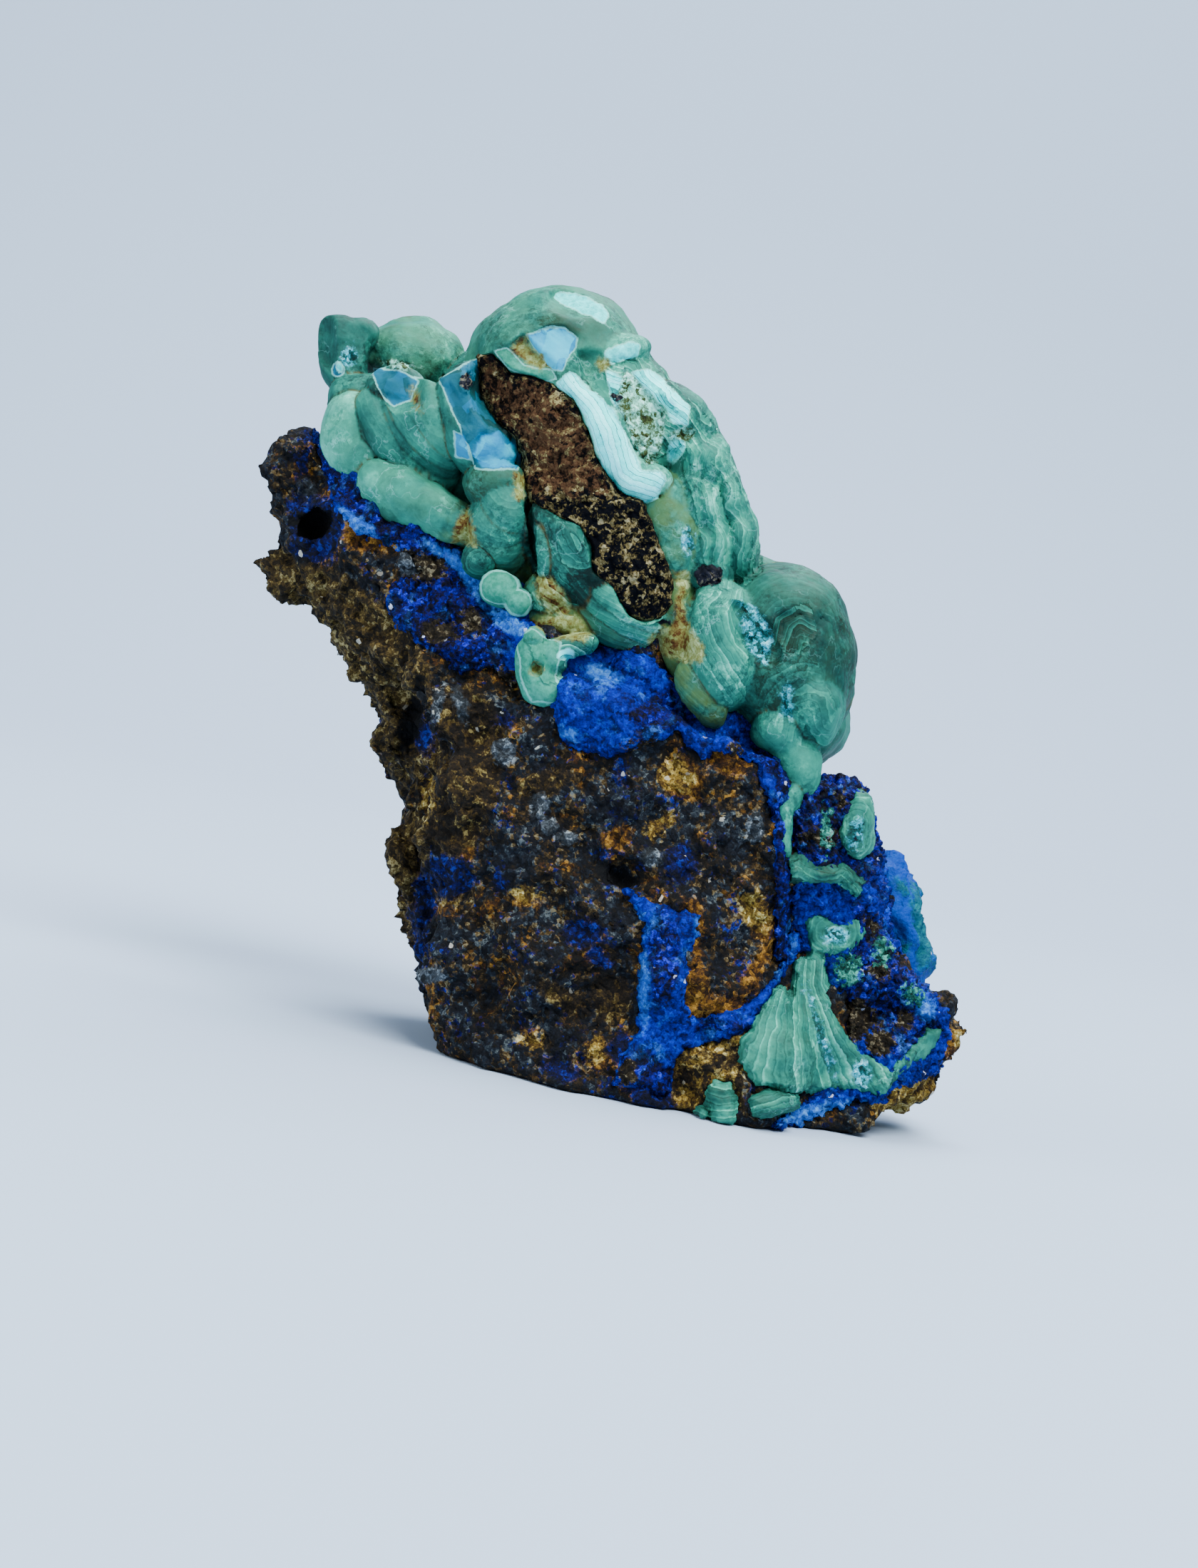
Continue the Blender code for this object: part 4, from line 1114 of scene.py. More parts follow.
def grain_group() -> NodeTree:
    """The crumbs of broken stone: a mottled value, single crumbs, rare crumbs for painted glints and a
    height.
    """
    outputs = {"Mottle": VALUE, "Crumb": VALUE, "Glint": VALUE, "Height": VALUE}
    tree, given, wanted = new_group("Stone grain", {"Cloud": VALUE}, outputs)
    small, large = tree.cells(0.13), tree.cells(0.24)
    tone = tree.node("ShaderNodeSeparateColor")
    tree.feed(tone.inputs[0], small.outputs["Color"])
    wide = tree.node("ShaderNodeSeparateColor")
    tree.feed(wide.inputs[0], large.outputs["Color"])
    crumbs = tree.fma(tone.outputs[0], 0.55, tree.times(wide.outputs[1], 0.45))
    cloud = tree.noise(1.3, 3.0)
    shift = tree.times(tree.centred(cloud), given["Cloud"])
    fine = tree.noise(0.075, 3.0, 0.7)
    mottle = tree.fma(tree.centred(fine), 1.3, tree.math("ADD", crumbs, shift))
    tree.feed(wanted["Mottle"], tree.math("MAXIMUM", tree.math("MINIMUM", mottle, 1.0), 0.0))
    tree.feed(wanted["Crumb"], tone.outputs[1])
    tree.feed(wanted["Glint"], tree.step(tone.outputs[2], 0.9972, 0.9992))
    away = tree.fma(small.outputs["Distance"], -0.7, 0.6)
    tree.feed(wanted["Height"], tree.math("ADD", away, fine))
    return tree.tree


def growth_group() -> NodeTree:
    """Growth lines of malachite: how the tone swings, the thin dark line and the height of each band."""
    outputs = {"Swing": VALUE, "Line": VALUE, "Pale": VALUE, "Height": VALUE}
    tree, given, wanted = new_group("Growth lines", {"Ring": VALUE, "Strength": VALUE}, outputs)
    ring = tree.fma(tree.noise(0.5, 4.0, 0.6), 0.9, given["Ring"])
    share = tree.math("FRACT", ring)
    whole = tree.math("FLOOR", ring)
    dice = tree.node("ShaderNodeTexWhiteNoise", noise_dimensions="1D")
    tree.feed(dice.inputs["W"], whole)
    slow = tree.math("SINE", tree.times(ring, 1.9))
    varied = tree.centred(dice.outputs["Value"])
    swing = tree.math("ADD", varied, tree.fma(slow, 0.25, tree.times(share, 0.4)))
    tree.feed(wanted["Swing"], tree.times(swing, given["Strength"]))
    dark = tree.rest(tree.step(tree.math("PINGPONG", ring, 0.5), 0.0, 0.10))
    tree.feed(wanted["Line"], tree.times(dark, given["Strength"]))
    pale = tree.times(tree.step(share, 0.62, 0.80), tree.rest(tree.step(share, 0.86, 0.97)))
    tree.feed(wanted["Pale"], tree.times(pale, given["Strength"]))
    tree.feed(wanted["Height"], tree.times(share, given["Strength"]))
    return tree.tree


@dataclass(frozen=True)
class Groups:
    """The shader groups that more than one finish uses."""

    edge: NodeTree
    grain: NodeTree
    growth: NodeTree


def principled(name: str) -> tuple[Material, Tree, Node]:
    """A new material with its tree and its surface shader."""
    material = bpy.data.materials.new(name)
    material.use_nodes = True
    material.node_tree.nodes.clear()
    tree = Tree(material.node_tree)
    shader = tree.node("ShaderNodeBsdfPrincipled")
    output = tree.node("ShaderNodeOutputMaterial")
    tree.feed(output.inputs["Surface"], shader.outputs[0])
    return material, tree, shader


@dataclass(frozen=True)
class MalachiteFinish:
    """Banded green carbonate, satin where whole and pale where broken."""

    groups: Groups
    scale: Scale = (0, "061E1A", 0.22, "0C3832", 0.45, "195F53", 0.68, "2B836E", 0.85, "52AC94", 1, "84D4BC")
    olive: str = "4C6428"
    # Painted shade: the near black painted into the creases between lobes, and the brown it turns to in
    # places
    seam_shade: str = "0C0E06"
    seam_shade_brown: str = "4A3C12"
    # Pale veil colour; also painted as a highlight on the rims of the rimmed patches
    veil: str = "8CDCD0"
    sky: Scale = (0, "06201F", 0.2, "0A3E40", 0.4, "0A5668", 0.6, "066688", 0.8, "0080AC", 1, "10ACC8")
    bright: Scale = (0, "0C706C", 0.3, "1CB4B0", 0.6, "4CF4F0", 1, "84FFFF")
    ochre: Scale = (0, "140A03", 0.25, "4E3010", 0.45, "6A6630", 0.65, "7C864A", 1, "A8B880")
    porous: Scale = (0, "0E140A", 0.3, "3C4A22", 0.5, "5A8E78", 0.75, "84D4BE", 1, "BCFAEC")
    aqua: Scale = (0, "04201E", 0.35, "0C504C", 0.6, "2690A0", 0.8, "56C4D8", 1, "A8ECF4")
    mint: Scale = (0, "0C463C", 0.5, "20765F", 1, "60BEA4")
    dark: Scale = (0, "010206", 0.5, "050916", 0.7, "141826", 1, "6A6450")
    rimmed: tuple[str, ...] = ("mint", "sky", "bright")

    def material(self) -> Material:
        """The finished material."""
        material, tree, shader = principled("malachite")
        lines = tree.use(self.groups.growth, Ring=tree.mark("ring"), Strength=tree.mark("bands"))
        grain = tree.use(self.groups.grain, Cloud=0.8)
        cloud = tree.noise(0.9, 5.0, 0.6)
        fine = tree.noise(0.16, 4.0, 0.65)
        tone = tree.fma(lines["Swing"], 0.42, tree.mark("tone"))
        tone = tree.fma(tree.centred(cloud), 0.55, tone)
        tone = tree.fma(tree.centred(fine), 0.30, tone)
        tone = tree.fma(lines["Pale"], 0.12, tone)
        mottle = grain["Mottle"]
        crumbly = tree.step(tree.noise(1.6, 4.0, 0.6), 0.44, 0.60)
        specks = tree.times(tree.centred(mottle), crumbly)
        tone = tree.fma(specks, 0.42, tone)
        tone = tree.math("MULTIPLY_ADD", lines["Line"], -0.16, tone, clamp=True)
        colour = tree.ramp(tone, self.scale)
        contour = tree.math("ABSOLUTE", tree.centred(tree.noise(1.4, 5.0, 0.55)))
        veil = tree.times(tree.rest(tree.step(contour, 0.0, 0.012)), tree.mark("tone"))
        veil = tree.times(veil, tree.step(tree.noise(2.1), 0.45, 0.60))
        colour = tree.mix(tree.times(veil, 0.5), colour, paint(self.veil))
        warmth = tree.times(tree.mark("warm"), tree.step(tree.noise(0.7, 4.0), 0.30, 0.62))
        colour = tree.mix(tree.times(warmth, 0.75), colour, paint(self.olive))
        # Painted shade: the creases between lobes are painted near black, turning brown where the cloud is
        # high
        seam_shade = tree.mix(tree.step(cloud, 0.45, 0.58), paint(self.seam_shade), paint(self.seam_shade_brown))
        colour = tree.mix(tree.times(tree.mark("crease_shade"), 0.85), colour, seam_shade)
        streaks = tree.fma(fine, 0.9, tree.times(tree.mark("glow"), 0.25))
        streaks = tree.fma(lines["Swing"], 0.9, streaks)
        streaks = tree.fma(lines["Line"], -0.85, streaks)
        blues = tree.fma(tree.math("SUBTRACT", tree.mark("tone"), 0.35), 0.8, tree.mark("glow"))
        chips = tree.node("ShaderNodeSeparateColor")
        tree.feed(chips.inputs[0], tree.cells(0.55).outputs["Color"])
        blues = tree.fma(cloud, 0.5, tree.times(blues, 0.45))
        blues = tree.fma(chips.outputs[0], 0.35, blues)
        earthy = tree.fma(tree.centred(cloud), 1.5, tree.fma(mottle, 0.6, 0.2))
        earthy = tree.fma(lines["Swing"], 0.5, earthy)
        masks = {}
        for name, scale, value, fray, soft in (
            ("mint", self.mint, tree.fma(fine, 0.6, tree.times(cloud, 0.5)), 0.12, 0.02),
            ("sky", self.sky, blues, 0.10, 0.01),
            ("bright", self.bright, streaks, 0.20, 0.03),
            ("ochre", self.ochre, earthy, 0.50, 0.10),
            ("porous", self.porous, mottle, 0.30, 0.06),
            ("aqua", self.aqua, mottle, 0.60, 0.10),
            ("dark", self.dark, mottle, 0.25, 0.03),
        ):
            edge = tree.use(self.groups.edge, Inside=tree.mark(name), Fray=fray, Soft=soft)
            masks[name] = edge["Mask"]
            colour = tree.mix(masks[name], colour, tree.ramp(value, scale))
            # Painted highlight: the edges of these patches get a pale rim
            if name in self.rimmed:
                colour = tree.mix(tree.times(edge["Rim"], 0.5), colour, paint(self.veil))
        tree.feed(shader.inputs["Base Color"], colour)
        rough = tree.fma(fine, 0.24, 0.48)
        rough = tree.between(masks["porous"], rough, 0.75)
        rough = tree.between(masks["ochre"], rough, 0.7)
        tree.feed(shader.inputs["Roughness"], rough)
        rugged = tree.math("MAXIMUM", masks["porous"], tree.times(masks["ochre"], 0.4))
        rugged = tree.math("MAXIMUM", rugged, masks["aqua"])
        height = tree.fma(tree.times(grain["Height"], 0.9), rugged, lines["Height"])
        height = tree.fma(fine, 0.5, height)
        height = tree.fma(specks, 0.8, height)
        tree.bump(shader, height, 0.035, 0.8)
        shader.inputs["Specular IOR Level"].default_value = 0.12
        return material


@dataclass(frozen=True)
class RockFinish:
    """Dark limonite and quartz rock: grey, black and brown crumbs with ochre, khaki and blue places."""

    groups: Groups
    cold: Scale = (0, "010205", 0.3, "04060B", 0.5, "090D15", 0.68, "141B24", 0.86, "272F34", 1, "50585A")
    brown: Scale = (0, "030201", 0.3, "0B0804", 0.5, "181107", 0.68, "33250E", 0.86, "4C3E24", 1, "70664A")
    ochre: Scale = (0, "0A0502", 0.35, "321C06", 0.65, "62400C", 1, "A0742C")
    khaki: Scale = (0, "050301", 0.35, "100A04", 0.6, "241A0A", 0.85, "443412", 1, "786A3C")
    gold: Scale = (0, "100A04", 0.3, "44300C", 0.6, "7E6424", 0.85, "AC9650", 1, "D4C890")
    tan: Scale = (0, "060402", 0.35, "1C1508", 0.65, "3E3014", 0.85, "5E4E26", 1, "8A7E54")
    quartz: Scale = (0, "0A0D0F", 0.5, "22282D", 0.8, "4A5258", 1, "8A949A")
    blue: Scale = (0, "010106", 0.4, "01031E", 0.7, "040748", 1, "102888")
    # Near black painted into the hole, the crack and the hollow as their shade
    black: str = "040507"

    def material(self) -> Material:
        """The finished material."""
        material, tree, shader = principled("limonite rock")
        grain = tree.use(self.groups.grain, Cloud=0.9)
        mottle = grain["Mottle"]
        wild = tree.noise(1.1, 5.0, 0.62)
        crumb = grain["Crumb"]
        kind = tree.fma(crumb, 0.22, wild)
        brown = tree.step(kind, 0.58, 0.64)
        colour = tree.mix(brown, tree.ramp(mottle, self.cold), tree.ramp(mottle, self.brown))
        colour = tree.mix(tree.step(kind, 0.73, 0.79), colour, tree.ramp(mottle, self.ochre))
        dust = tree.fma(crumb, -0.22, tree.noise(0.8, 5.0, 0.65))
        colour = tree.mix(tree.rest(tree.step(dust, 0.22, 0.28)), colour, tree.ramp(mottle, self.blue))
        masks = {}
        for name, scale, fray, soft in (
            ("tan", self.tan, 0.9, 0.12),
            ("khaki", self.khaki, 0.6, 0.08),
            ("quartz", self.quartz, 0.45, 0.05),
            ("ochre", self.ochre, 0.9, 0.10),
            ("gold", self.gold, 0.9, 0.10),
            ("blue", self.blue, 0.9, 0.08),
        ):
            masks[name] = tree.mask(self.groups.edge, name, fray, soft)
            colour = tree.mix(masks[name], colour, tree.ramp(mottle, scale))
        # Painted shade: the deep hole, the dark crack and the left hollow are painted near black
        colour = tree.mix(tree.mask(self.groups.edge, "black", 0.5, 0.05), colour, paint(self.black))
        # Painted glints: rare crumbs painted near white as sparkles, where the roughness is also glossy
        glint = grain["Glint"]
        tree.feed(shader.inputs["Base Color"], tree.mix(tree.times(glint, 0.6), colour, paint("D8D4C2")))
        shader.inputs["Specular IOR Level"].default_value = 0.15
        rough = tree.between(masks["quartz"], 0.8, 0.4)
        tree.feed(shader.inputs["Roughness"], tree.between(glint, rough, 0.15))
        tree.bump(shader, grain["Height"], 0.07)
        return material


@dataclass(frozen=True)
class CoreFinish:
    """Brown limonite of the broken core: rusty above, black, navy and tan specks below."""

    groups: Groups
    rust: Scale = (0, "030303", 0.24, "0E0A07", 0.36, "332114", 0.7, "4C3624", 0.86, "5E5032", 1, "8C8254")
    specks: Scale = (0, "000105", 0.46, "02040A", 0.52, "0E0C06", 0.6, "38301A", 0.8, "605636", 1, "8C8464")

    def material(self) -> Material:
        """The finished material."""
        material, tree, shader = principled("limonite core")
        grain = tree.use(self.groups.grain, Cloud=0.5)
        lower = tree.mask(self.groups.edge, "lower", 1.6, 0.15)
        patches = tree.centred(tree.noise(0.55, 4.0, 0.6))
        mottle = tree.fma(patches, 0.9, grain["Mottle"])
        colour = tree.mix(lower, tree.ramp(mottle, self.rust), tree.ramp(mottle, self.specks))
        tree.feed(shader.inputs["Base Color"], colour)
        shader.inputs["Roughness"].default_value = 0.8
        shader.inputs["Specular IOR Level"].default_value = 0.05
        tree.bump(shader, grain["Height"], 0.06)
        return material


@dataclass(frozen=True)
class AzuriteFinish:
    """Deep blue carbonate: matt royal blue crusts and dark sparkling druse."""

    groups: Groups
    name: str = "azurite"
    royal: Scale = (0, "000216", 0.3, "000644", 0.55, "001478", 0.8, "002CA4", 1, "0C64D4")
    druse: Scale = (0, "010106", 0.35, "03031E", 0.65, "080754", 0.9, "0C1292", 1, "2C40C0")
    stone: Scale = (0, "050403", 0.4, "15110B", 0.7, "2E2618", 1, "726A54")
    pale: Scale = (0, "082470", 0.5, "1C58B2", 1, "5CA0DC")
    green: Scale = (0, "041814", 0.5, "14584C", 1, "58B09C")
    steel: Scale = (0, "020A28", 0.5, "103C70", 1, "4C90B8")
    steel_share: float = 0.45

    def material(self) -> Material:
        """The finished material."""
        material, tree, shader = principled(self.name)
        grain = tree.use(self.groups.grain, Cloud=0.7)
        mottle = grain["Mottle"]
        cloud = tree.noise(0.6, 4.0, 0.6)
        swing = tree.fma(tree.centred(tree.noise(1.2, 4.0, 0.6)), 0.9, cloud)
        shade = tree.fma(mottle, 0.60, tree.times(swing, 0.42))
        deep = tree.mask(self.groups.edge, "druse", 0.7, 0.12)
        colour = tree.mix(deep, tree.ramp(shade, self.royal), tree.ramp(mottle, self.druse))
        pale = tree.mask(self.groups.edge, "pale", 0.5, 0.10)
        colour = tree.mix(pale, colour, tree.ramp(shade, self.pale))
        steel = tree.times(tree.step(tree.noise(0.8, 5.0, 0.7), 0.52, 0.66), self.steel_share)
        colour = tree.mix(steel, colour, tree.ramp(mottle, self.steel))
        for name, scale in (("stone", self.stone), ("green", self.green)):
            colour = tree.mix(tree.mask(self.groups.edge, name, 1.1, 0.06), colour, tree.ramp(mottle, scale))
        # Painted glints: rare crystals painted pale blue white as sparkles, where the roughness is also
        # glossy
        glint = tree.times(grain["Glint"], 0.8)
        tree.feed(shader.inputs["Base Color"], tree.mix(glint, colour, paint("D6DCF6")))
        shader.inputs["Specular IOR Level"].default_value = 0.08
        tree.feed(shader.inputs["Roughness"], tree.between(grain["Glint"], 0.6, 0.15))
        tree.bump(shader, grain["Height"], 0.06)
        return material


# Where the cap is broken open, the limonite core's surface passes through these places
CORE_SURFACE = Relief(
    ((672, 520, 1.1), (706, 508, 1.55), (770, 538, 2.05), (700, 585, 1.2), (740, 600, 1.85),
        (800, 575, 2.35), (735, 650, 1.55), (785, 650, 2.25), (838, 655, 2.62), (745, 700, 2.1),
        (800, 720, 2.65), (862, 700, 2.75), (915, 750, 2.6), (845, 770, 3.0), (888, 800, 2.9),
        (940, 830, 2.35), (900, 865, 2.55)))
CORE_OUTLINE: Pairs = path(672, 503, 690, 500, 715, 525, 770, 537, 800, 560, 822, 600, 838, 650, 860, 694,
    895, 707, 915, 745, 935, 800, 942, 825, 940, 845, 925, 865, 905, 868, 885, 860, 855, 815, 835, 800,
    832, 765, 815, 735, 780, 722, 745, 700, 735, 660, 738, 640, 722, 610, 700, 590, 682, 565, 674, 540)
CORE_SPANS = ((640, 970), (470, 900), (0.2, 5.0))
CORE_LOWER: Pairs = path(720, 690, 790, 690, 905, 690, 980, 760, 960, 900, 860, 900, 800, 800)
SIDE_WALL = Facet(
    path(644, 517, 671, 501, 674, 540, 688, 571, 719, 602, 741, 618, 736, 641, 724, 640, 702, 604, 681,
        586, 667, 560, 647, 548), 1.55, -0.9, 0.2)
CAP_GAPS = (
    Lump(747, 752, 1.9, (0.15, 1.3, 0.95), 9), Lump(876, 505, 1.75, (0.46, 0.09, 0.5), 12),
    Lump(1155, 869, 2.35, (0.3, 0.035, 0.3), -32), Lump(752, 938, 3.2, (0.2, 0.22, 0.36)),
    Lump(742, 790, 1.9, (0.16, 0.5, 0.8), 4), Lump(905, 700, 2.7, (0.9, 0.05, 0.7), 12))
CAP_FACETS = {
    "upper blue face": Facet(path(616, 531, 644, 517, 647, 548, 667, 560, 681, 586, 676, 608, 660, 613,
        637, 582), 1.95, 0.3, 0.1),
    "lower blue face": Facet(path(676, 610, 702, 604, 730, 630, 731, 641, 724, 658, 677, 658, 664, 636),
        2.05, -0.05, 0.25),
    "blue flake": Facet(path(637, 604, 652, 610, 661, 645, 640, 640), 1.95, 0.1, 0.0),
    "knob's left plane": Facet(path(451, 450, 468, 446, 470, 500, 466, 520, 451, 500), -1.15, 1.1, 0.0),
    "knob's face": Facet(path(472, 448, 497, 444, 520, 470, 526, 500, 500, 520, 474, 500), -0.92, -0.25,
        0.1),
    "ring window": Facet(path(522, 517, 562, 520, 587, 534, 576, 560, 553, 567, 536, 554, 527, 537), 0.72,
        0.05, 0.1),
    "smooth blue patch": Facet(path(737, 470, 772, 460, 791, 460, 810, 473, 808, 487, 797, 503, 789, 520,
        777, 520, 747, 487), 2.05, 0.0, 0.35),
    "ochre pit": Facet(path(735, 472, 747, 489, 761, 503, 777, 517, 761, 519, 740, 512, 722, 498, 713, 486),
        1.75, 0.1, 0.2),
    "mint rim": Facet(path(693, 492, 712, 487, 735, 512, 777, 521, 781, 532, 761, 535, 735, 530, 713, 518),
        1.85, 0.1, 0.4),
    "bright crown": Facet(path(775, 418, 782, 410, 800, 410, 825, 418, 852, 442, 846, 455, 822, 442, 790,
        428), 1.05, 0.2, 0.9),
    "smooth pocket": Facet(path(816, 500, 842, 494, 862, 520, 866, 545, 858, 556, 836, 545, 820, 525),
        1.95, 0.2, 0.2),
    "porous hollow": Facet(path(873, 515, 890, 528, 909, 550, 932, 576, 932, 604, 926, 627, 920, 649, 906,
        655, 895, 638, 887, 618, 878, 593, 864, 573), 2.0, -0.35, 0.25),
    "flaked edge": Facet(path(940, 600, 970, 605, 975, 622, 950, 625), 2.0, -0.2, 0.2),
    "sparkling hollow": Facet(path(1032, 850, 1060, 850, 1082, 880, 1092, 925, 1062, 932, 1036, 900), 2.35,
        0.0, 0.1),
    "striped heart": Facet(path(1096, 862, 1128, 858, 1140, 890, 1110, 915, 1092, 895), 2.45, 0.1, 0.1),
}


@dataclass(frozen=True)
class Zone:
    """A place where the growth lines run along a guide line instead of round a pole.

    With a top they spread from it, and have their step at the reach from it.
    """

    outline: Pairs
    guide: Pairs
    step: float
    relief: float
    bands: float
    warp: float = 0.5
    top: Span | None = None
    reach: float = 150.0

    def ring(self, columns: Array, rows: Array) -> Array:
        """The line's number at picture points: their distance to the guide in steps."""
        best = line_distance(self.guide, columns, rows)
        if self.top is not None:
            away = np.hypot(columns - self.top[0], rows - self.top[1]) / self.reach
            best /= np.maximum(away, 0.4)
        return best * VIEW.mm_per_pixel / self.step


BRIGHT_BAND: Pairs = path(780, 538, 800, 520, 843, 558, 861, 576, 876, 606, 891, 639, 900, 660, 926, 661,
    933, 675, 921, 698, 909, 706, 878, 697, 853, 677, 845, 649, 834, 618, 820, 582, 797, 560)
CAP_ZONES = (
    Zone(BRIGHT_BAND, path(770, 520, 797, 560, 820, 582, 834, 618, 845, 649, 853, 677, 878, 697, 909, 705),
        0.15, 0.02, 0.8, 0.25),
    Zone(path(845, 520, 880, 505, 912, 498, 955, 545, 985, 570, 1012, 610, 1012, 640, 985, 650, 960, 625,
        930, 640, 905, 655, 880, 600, 862, 570),
        path(860, 470, 905, 487, 930, 515, 955, 545, 985, 570, 1012, 610, 1030, 640), 0.13, 0.05, 1.0, 0.8),
    Zone(path(960, 625, 1012, 612, 1040, 650, 1058, 700, 1072, 745, 1070, 800, 1045, 826, 1010, 826, 985,
        790, 975, 720, 955, 660),
        path(1012, 600, 1030, 622, 1026, 645, 1048, 678, 1044, 705, 1062, 735, 1066, 770, 1060, 800), 0.15,
        0.035, 0.6, 1.0),
    Zone(path(955, 826, 1045, 824, 1050, 900, 1048, 985, 1020, 990, 985, 940, 970, 895),
        path(985, 815, 961, 840, 961, 855, 973, 894, 988, 929, 1016, 968, 1030, 1000), 0.17, 0.015, 0.6,
        0.5),
    Zone(path(1060, 930, 1100, 900, 1150, 930, 1172, 990, 1160, 1060, 1100, 1040, 1062, 990),
        path(1170, 1010, 1160, 975, 1130, 965, 1098, 985, 1088, 1030), 0.22, 0.02, 0.45, 0.5),
    Zone(path(1085, 850, 1135, 845, 1150, 890, 1115, 925, 1080, 905),
        path(1078, 915, 1092, 868, 1120, 850, 1150, 866), 0.13, 0.03, 0.8, 0.6),
    Zone(path(735, 895, 835, 890, 830, 935, 790, 960, 760, 960), ((795, 932), (800, 936)), 0.18, 0.03, 1.0,
        0.3),
    Zone(path(776, 722, 835, 728, 845, 790, 812, 815, 785, 790), ((795, 738), (812, 770)), 0.18, 0.01,
        0.75, 0.5),
    Zone(path(745, 798, 790, 800, 815, 850, 800, 872, 765, 862),
        path(740, 795, 752, 835, 790, 866, 815, 870), 0.13, 0.05, 1.0, 0.4))
CAP_PATCHES: dict[str, tuple[Pairs | Spot, ...]] = {
    "sky": (path(616, 531, 644, 515, 671, 501, 690, 572, 719, 602, 741, 618, 735, 645, 724, 660, 677, 660,
        668, 658, 654, 620, 637, 582), CAP_FACETS["blue flake"].outline, CAP_FACETS["ring window"].outline,
        CAP_FACETS["smooth blue patch"].outline, Spot(474, 518, 9, 10)),
    "aqua": (path(1034, 842, 1056, 850, 1072, 868, 1084, 905, 1072, 930, 1052, 915, 1040, 880),
        Spot(1104, 985, 8, 20), Spot(489, 500, 9, 14, 20), Spot(965, 760, 8, 16)),
    "bright": (BRIGHT_BAND,
        path(775, 418, 782, 410, 800, 410, 825, 418, 845, 432, 852, 445, 846, 455, 822, 442, 790, 428),
        path(848, 492, 881, 482, 897, 484, 893, 498, 859, 512, 850, 503),
        path(887, 522, 912, 517, 943, 548, 968, 571, 965, 600, 943, 593, 933, 571, 909, 552),
        path(850, 520, 866, 524, 880, 560, 886, 600, 868, 580, 856, 560), Spot(948, 628, 10, 22, 20),
        Spot(794, 918, 11, 8), Spot(476, 515, 5, 7)),
    "ochre": (path(737, 470, 747, 489, 761, 503, 777, 517, 761, 519, 740, 512, 722, 498, 714, 487),
        path(634, 760, 640, 730, 655, 712, 668, 740, 668, 768),
        path(942, 800, 969, 802, 965, 825, 958, 859, 973, 890, 986, 909, 984, 930, 958, 928, 908, 912, 908,
            900, 925, 888, 942, 874, 950, 832),
        path(743, 874, 770, 863, 808, 863, 831, 888, 820, 900, 780, 896),
        path(718, 665, 742, 665, 735, 700, 722, 700),
        path(752, 806, 772, 808, 798, 848, 796, 866, 768, 858, 754, 836), Spot(846, 511, 9, 9),
        Spot(752, 938, 8, 8), Spot(583, 558, 6, 14, -20)),
    "porous": (CAP_FACETS["porous hollow"].outline, Spot(957, 610, 18, 9, -10), Spot(560, 512, 24, 6, 10)),
    "mint": (CAP_FACETS["mint rim"].outline,
        path(726, 899, 745, 880, 765, 895, 787, 900, 780, 950, 790, 985, 745, 985, 730, 950),
        Spot(700, 824, 26, 24), Spot(727, 846, 18, 18)),
    "dark": (path(973, 805, 984, 790, 1015, 798, 1011, 817, 984, 823), Spot(863, 558, 8, 5),
        Spot(655, 534, 9, 13), Spot(932, 873, 10, 4)),
    "glow": (BRIGHT_BAND, CAP_FACETS["lower blue face"].outline, CAP_FACETS["blue flake"].outline,
        CAP_FACETS["smooth blue patch"].outline),
}
CAP_SHADES = (
    (Spot(552, 540, 20, 15), -0.5), (Spot(658, 531, 16, 14), -0.55), (Spot(690, 575, 12, 20, -30), -0.75),
    (Spot(716, 606, 14, 12, -40), -0.75), (Spot(707, 640, 22, 14), 0.2), (Spot(512, 622, 24, 26), -0.12),
    (Spot(640, 560, 30, 20), 0.1), (Spot(610, 470, 60, 16), 0.08), (Spot(790, 458, 40, 12, 12), -0.32),
    (Spot(680, 470, 22, 40), -0.12), (Spot(945, 545, 12, 60, -40), -0.14), (Spot(838, 535, 22, 24), -0.05),
    (Spot(1113, 882, 34, 30), -0.2), (Spot(1060, 960, 30, 50), -0.04), (Spot(1178, 900, 26, 80), -0.08),
    (Spot(1008, 690, 60, 110), 0.07), (Spot(810, 762, 27, 38), 0.2), (Spot(765, 765, 16, 40), 0.1),
    (Spot(835, 825, 40, 34), -0.16), (Spot(1112, 1060, 26, 36), 0.04))


def insides(patches: tuple[Pairs | Spot, ...], columns: Array, rows: Array) -> Array:
    """Millimetres that picture points are inside the nearest of some patches, negative outside."""
    best = np.full(columns.shape, -9.0)
    for patch in patches:
        if isinstance(patch, Spot):
            best = np.maximum(best, patch.inside_by(columns, rows))
        else:
            best = np.maximum(best, inside_by(patch, columns, rows))
    return best


